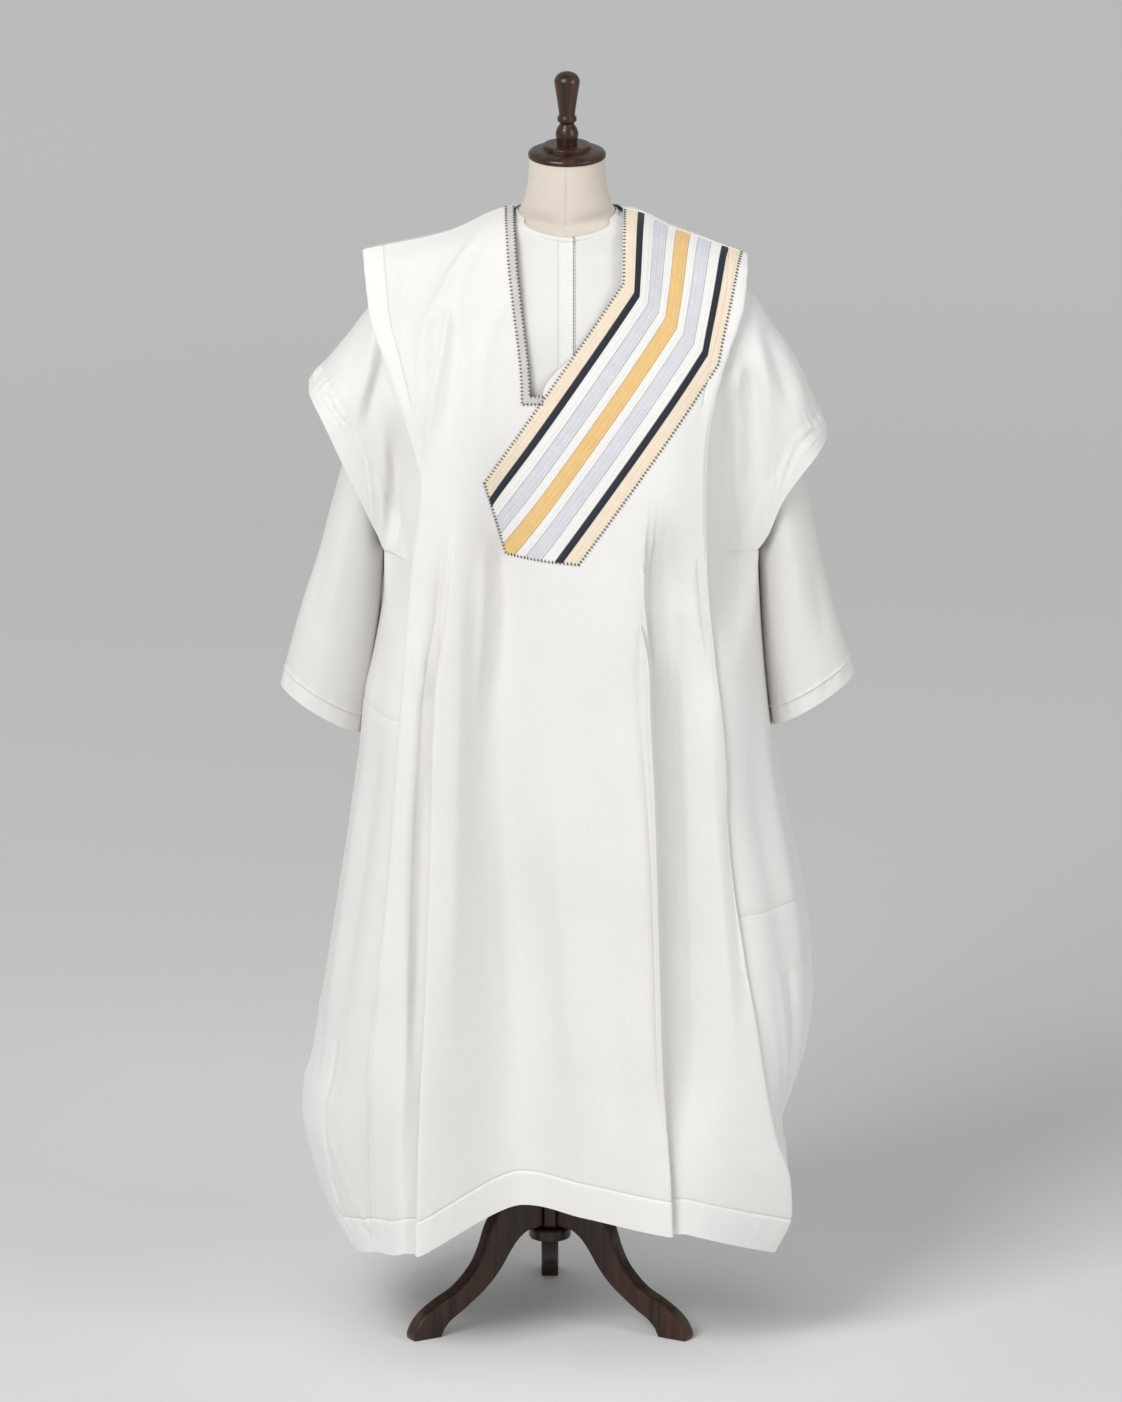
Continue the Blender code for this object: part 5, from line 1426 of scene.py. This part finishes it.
def polished_walnut():
    """Dark stained wood: long grain along each piece, fine pores and a satin lacquer."""
    made, tree = new_material("walnut")
    place = stretched(tree, object_place(tree), (60, 60, 4))
    grain = noise(tree, place, Scale=1.6, Detail=6.0, Roughness=0.62, Distortion=0.6)
    pores = noise(tree, place, Scale=9.0, Detail=3.0, Roughness=0.5)
    colour = blend(tree, share_within(tree, grain, low=0.35, high=0.68), *WALNUT_TONES)
    surface(tree, Base_Color=colour, Normal=relief(tree, pores, strength=0.25, depth=0.3),
            Roughness=0.34, Specular_IOR_Level=0.3, Coat_Weight=0.22, Coat_Roughness=0.14)
    return made


def plain(name, colour, roughness):
    """One even colour."""
    made, tree = new_material(name)
    surface(tree, Base_Color=(*colour, 1), Roughness=roughness)
    return made


def painted_light_floor():
    """Matt pale grey with painted light: paler round the stand's feet, darkest about two metres out, and
    palest far off.
    """
    made, tree = new_material("painted_light_floor")
    far = add(tree, "ShaderNodeVectorMath", object_place(tree), having={"operation": "LENGTH"})
    # Painted light: the floor's grey changes with the distance from the stand
    reach = maths(tree, "DIVIDE", far.outputs["Value"], FLOOR_PAINTED_REACH)
    painted_light = add(tree, "ShaderNodeValToRGB", Fac=reach)
    stops = painted_light.color_ramp.elements
    for place, grey in FLOOR_PAINTED_LIGHT:
        stop = stops[-1] if place == 1.0 else stops.new(place)
        stop.color = (grey, grey, grey * FLOOR_BLUE, 1)
    stops.remove(stops[0])
    painted_light.color_ramp.interpolation = "EASE"
    surface(tree, Base_Color=painted_light.outputs["Color"], Roughness=0.9)
    return made


def stage():
    """A pale floor with painted light, soft lamps, an even sky and the camera."""
    corners = [(x * FLOOR_REACH, y * FLOOR_REACH, 0) for x, y in ((-1, -1), (1, -1), (1, 1), (-1, 1))]
    floor = bpy.data.meshes.new("floor")
    floor.from_pydata(corners, [], [(0, 1, 2, 3)])
    floor.materials.append(painted_light_floor())
    ground = bpy.data.objects.new("floor", floor)
    bpy.context.collection.objects.link(ground)

    for name, place, size, watts, tint in LAMPS:
        data = bpy.data.lights.new(name, "AREA")
        data.shape = "RECTANGLE"
        data.size, data.size_y = size
        data.energy = watts
        data.color = tint
        lamp = bpy.data.objects.new(name, data)
        lamp.location = place
        lamp.rotation_euler = (Vector(LAMP_AIM) - Vector(place)).to_track_quat("-Z", "Y").to_euler()
        bpy.context.collection.objects.link(lamp)

    world = bpy.data.worlds.new("even_sky")
    world.use_nodes = True
    sky = world.node_tree.nodes["Background"].inputs
    sky["Color"].default_value = (0.995, 0.997, 1.0, 1)
    sky["Strength"].default_value = SKY
    bpy.context.scene.world = world
    bpy.context.scene.view_settings.view_transform = "Standard"

    data = bpy.data.cameras.new("camera")
    data.sensor_fit = "VERTICAL"
    data.sensor_height = FILM
    data.lens = LENS
    data.clip_end = CAMERA_FAR * 3
    camera = bpy.data.objects.new("camera", data)
    aim = Vector(CAMERA_AIM)
    lift = math.radians(CAMERA_LIFT)
    away = Vector((0, -math.cos(lift), math.sin(lift)))
    camera.location = aim + away * CAMERA_FAR
    camera.rotation_euler = (-away).to_track_quat("-Z", "Y").to_euler()
    bpy.context.collection.objects.link(camera)
    bpy.context.scene.camera = camera


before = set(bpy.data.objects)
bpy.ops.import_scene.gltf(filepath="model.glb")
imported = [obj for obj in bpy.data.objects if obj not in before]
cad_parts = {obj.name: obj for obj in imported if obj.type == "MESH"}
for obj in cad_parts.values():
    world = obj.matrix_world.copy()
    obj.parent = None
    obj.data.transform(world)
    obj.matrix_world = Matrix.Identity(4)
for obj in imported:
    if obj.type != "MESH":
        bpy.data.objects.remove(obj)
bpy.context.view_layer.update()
WHITE_COTTON = woven("white_cotton", (0.80, 0.79, 0.77), (0.725, 0.71, 0.685),
                     pitch=0.9, twill=1.0, strength=0.35)
TUNIC_COTTON = woven("tunic_cotton", (0.735, 0.725, 0.70), (0.665, 0.65, 0.625),
                     pitch=0.8, twill=0.0, strength=0.3, sheen=0.15)
LINEN = woven("linen", (0.725, 0.655, 0.57), (0.65, 0.58, 0.50),
              pitch=1.1, twill=0.0, strength=0.5, roughness=0.9, slubs=0.45)
RIBBON_FINISH = {
    "cream": ribbed("cream", (0.84, 0.72, 0.57), (0.72, 0.60, 0.46)),
    "navy": ribbed("navy", (0.009, 0.012, 0.028), (0.004, 0.006, 0.015), sheen=0.1),
    "white": ribbed("white", (0.83, 0.82, 0.80), (0.74, 0.73, 0.71)),
    "blue_grey": ribbed("blue_grey", (0.66, 0.67, 0.71), (0.54, 0.55, 0.59)),
    "gold": ribbed("gold", (0.80, 0.53, 0.22), (0.66, 0.42, 0.15)),
    "neck_ribbon": ribbed("neck_ribbon", (0.62, 0.585, 0.54), (0.46, 0.44, 0.42)),
}
WALNUT = polished_walnut()
DARK_THREAD = plain("dark_thread", (0.035, 0.032, 0.034), 0.8)
STITCHES = stitch_tree()

FORM_SKIN = form_skin()

front_grid, front_mark = robe_panel("front")
robe_panel("back")
front_tree = surface_tree(front_grid)
ribbon_panel(front_tree)
edge_stitches(front_tree, *neck_ribbon(front_grid, front_tree, front_mark))
for side, word in ((-1, "left"), (1, "right")):
    tier(side, word, SEED["tier"] + side)
    side_pieces(side, word, SEED["side"] + side)
    under_sleeve(side, word, SEED["sleeve"] + side)
form()
yoke_grid = yoke("front", -1)
yoke("back", 1)
placket(yoke_grid)
for piece_name in TURNED:
    turned(piece_name)
for leg_name, degrees in LEGS.items():
    leg(leg_name, degrees)
stage()
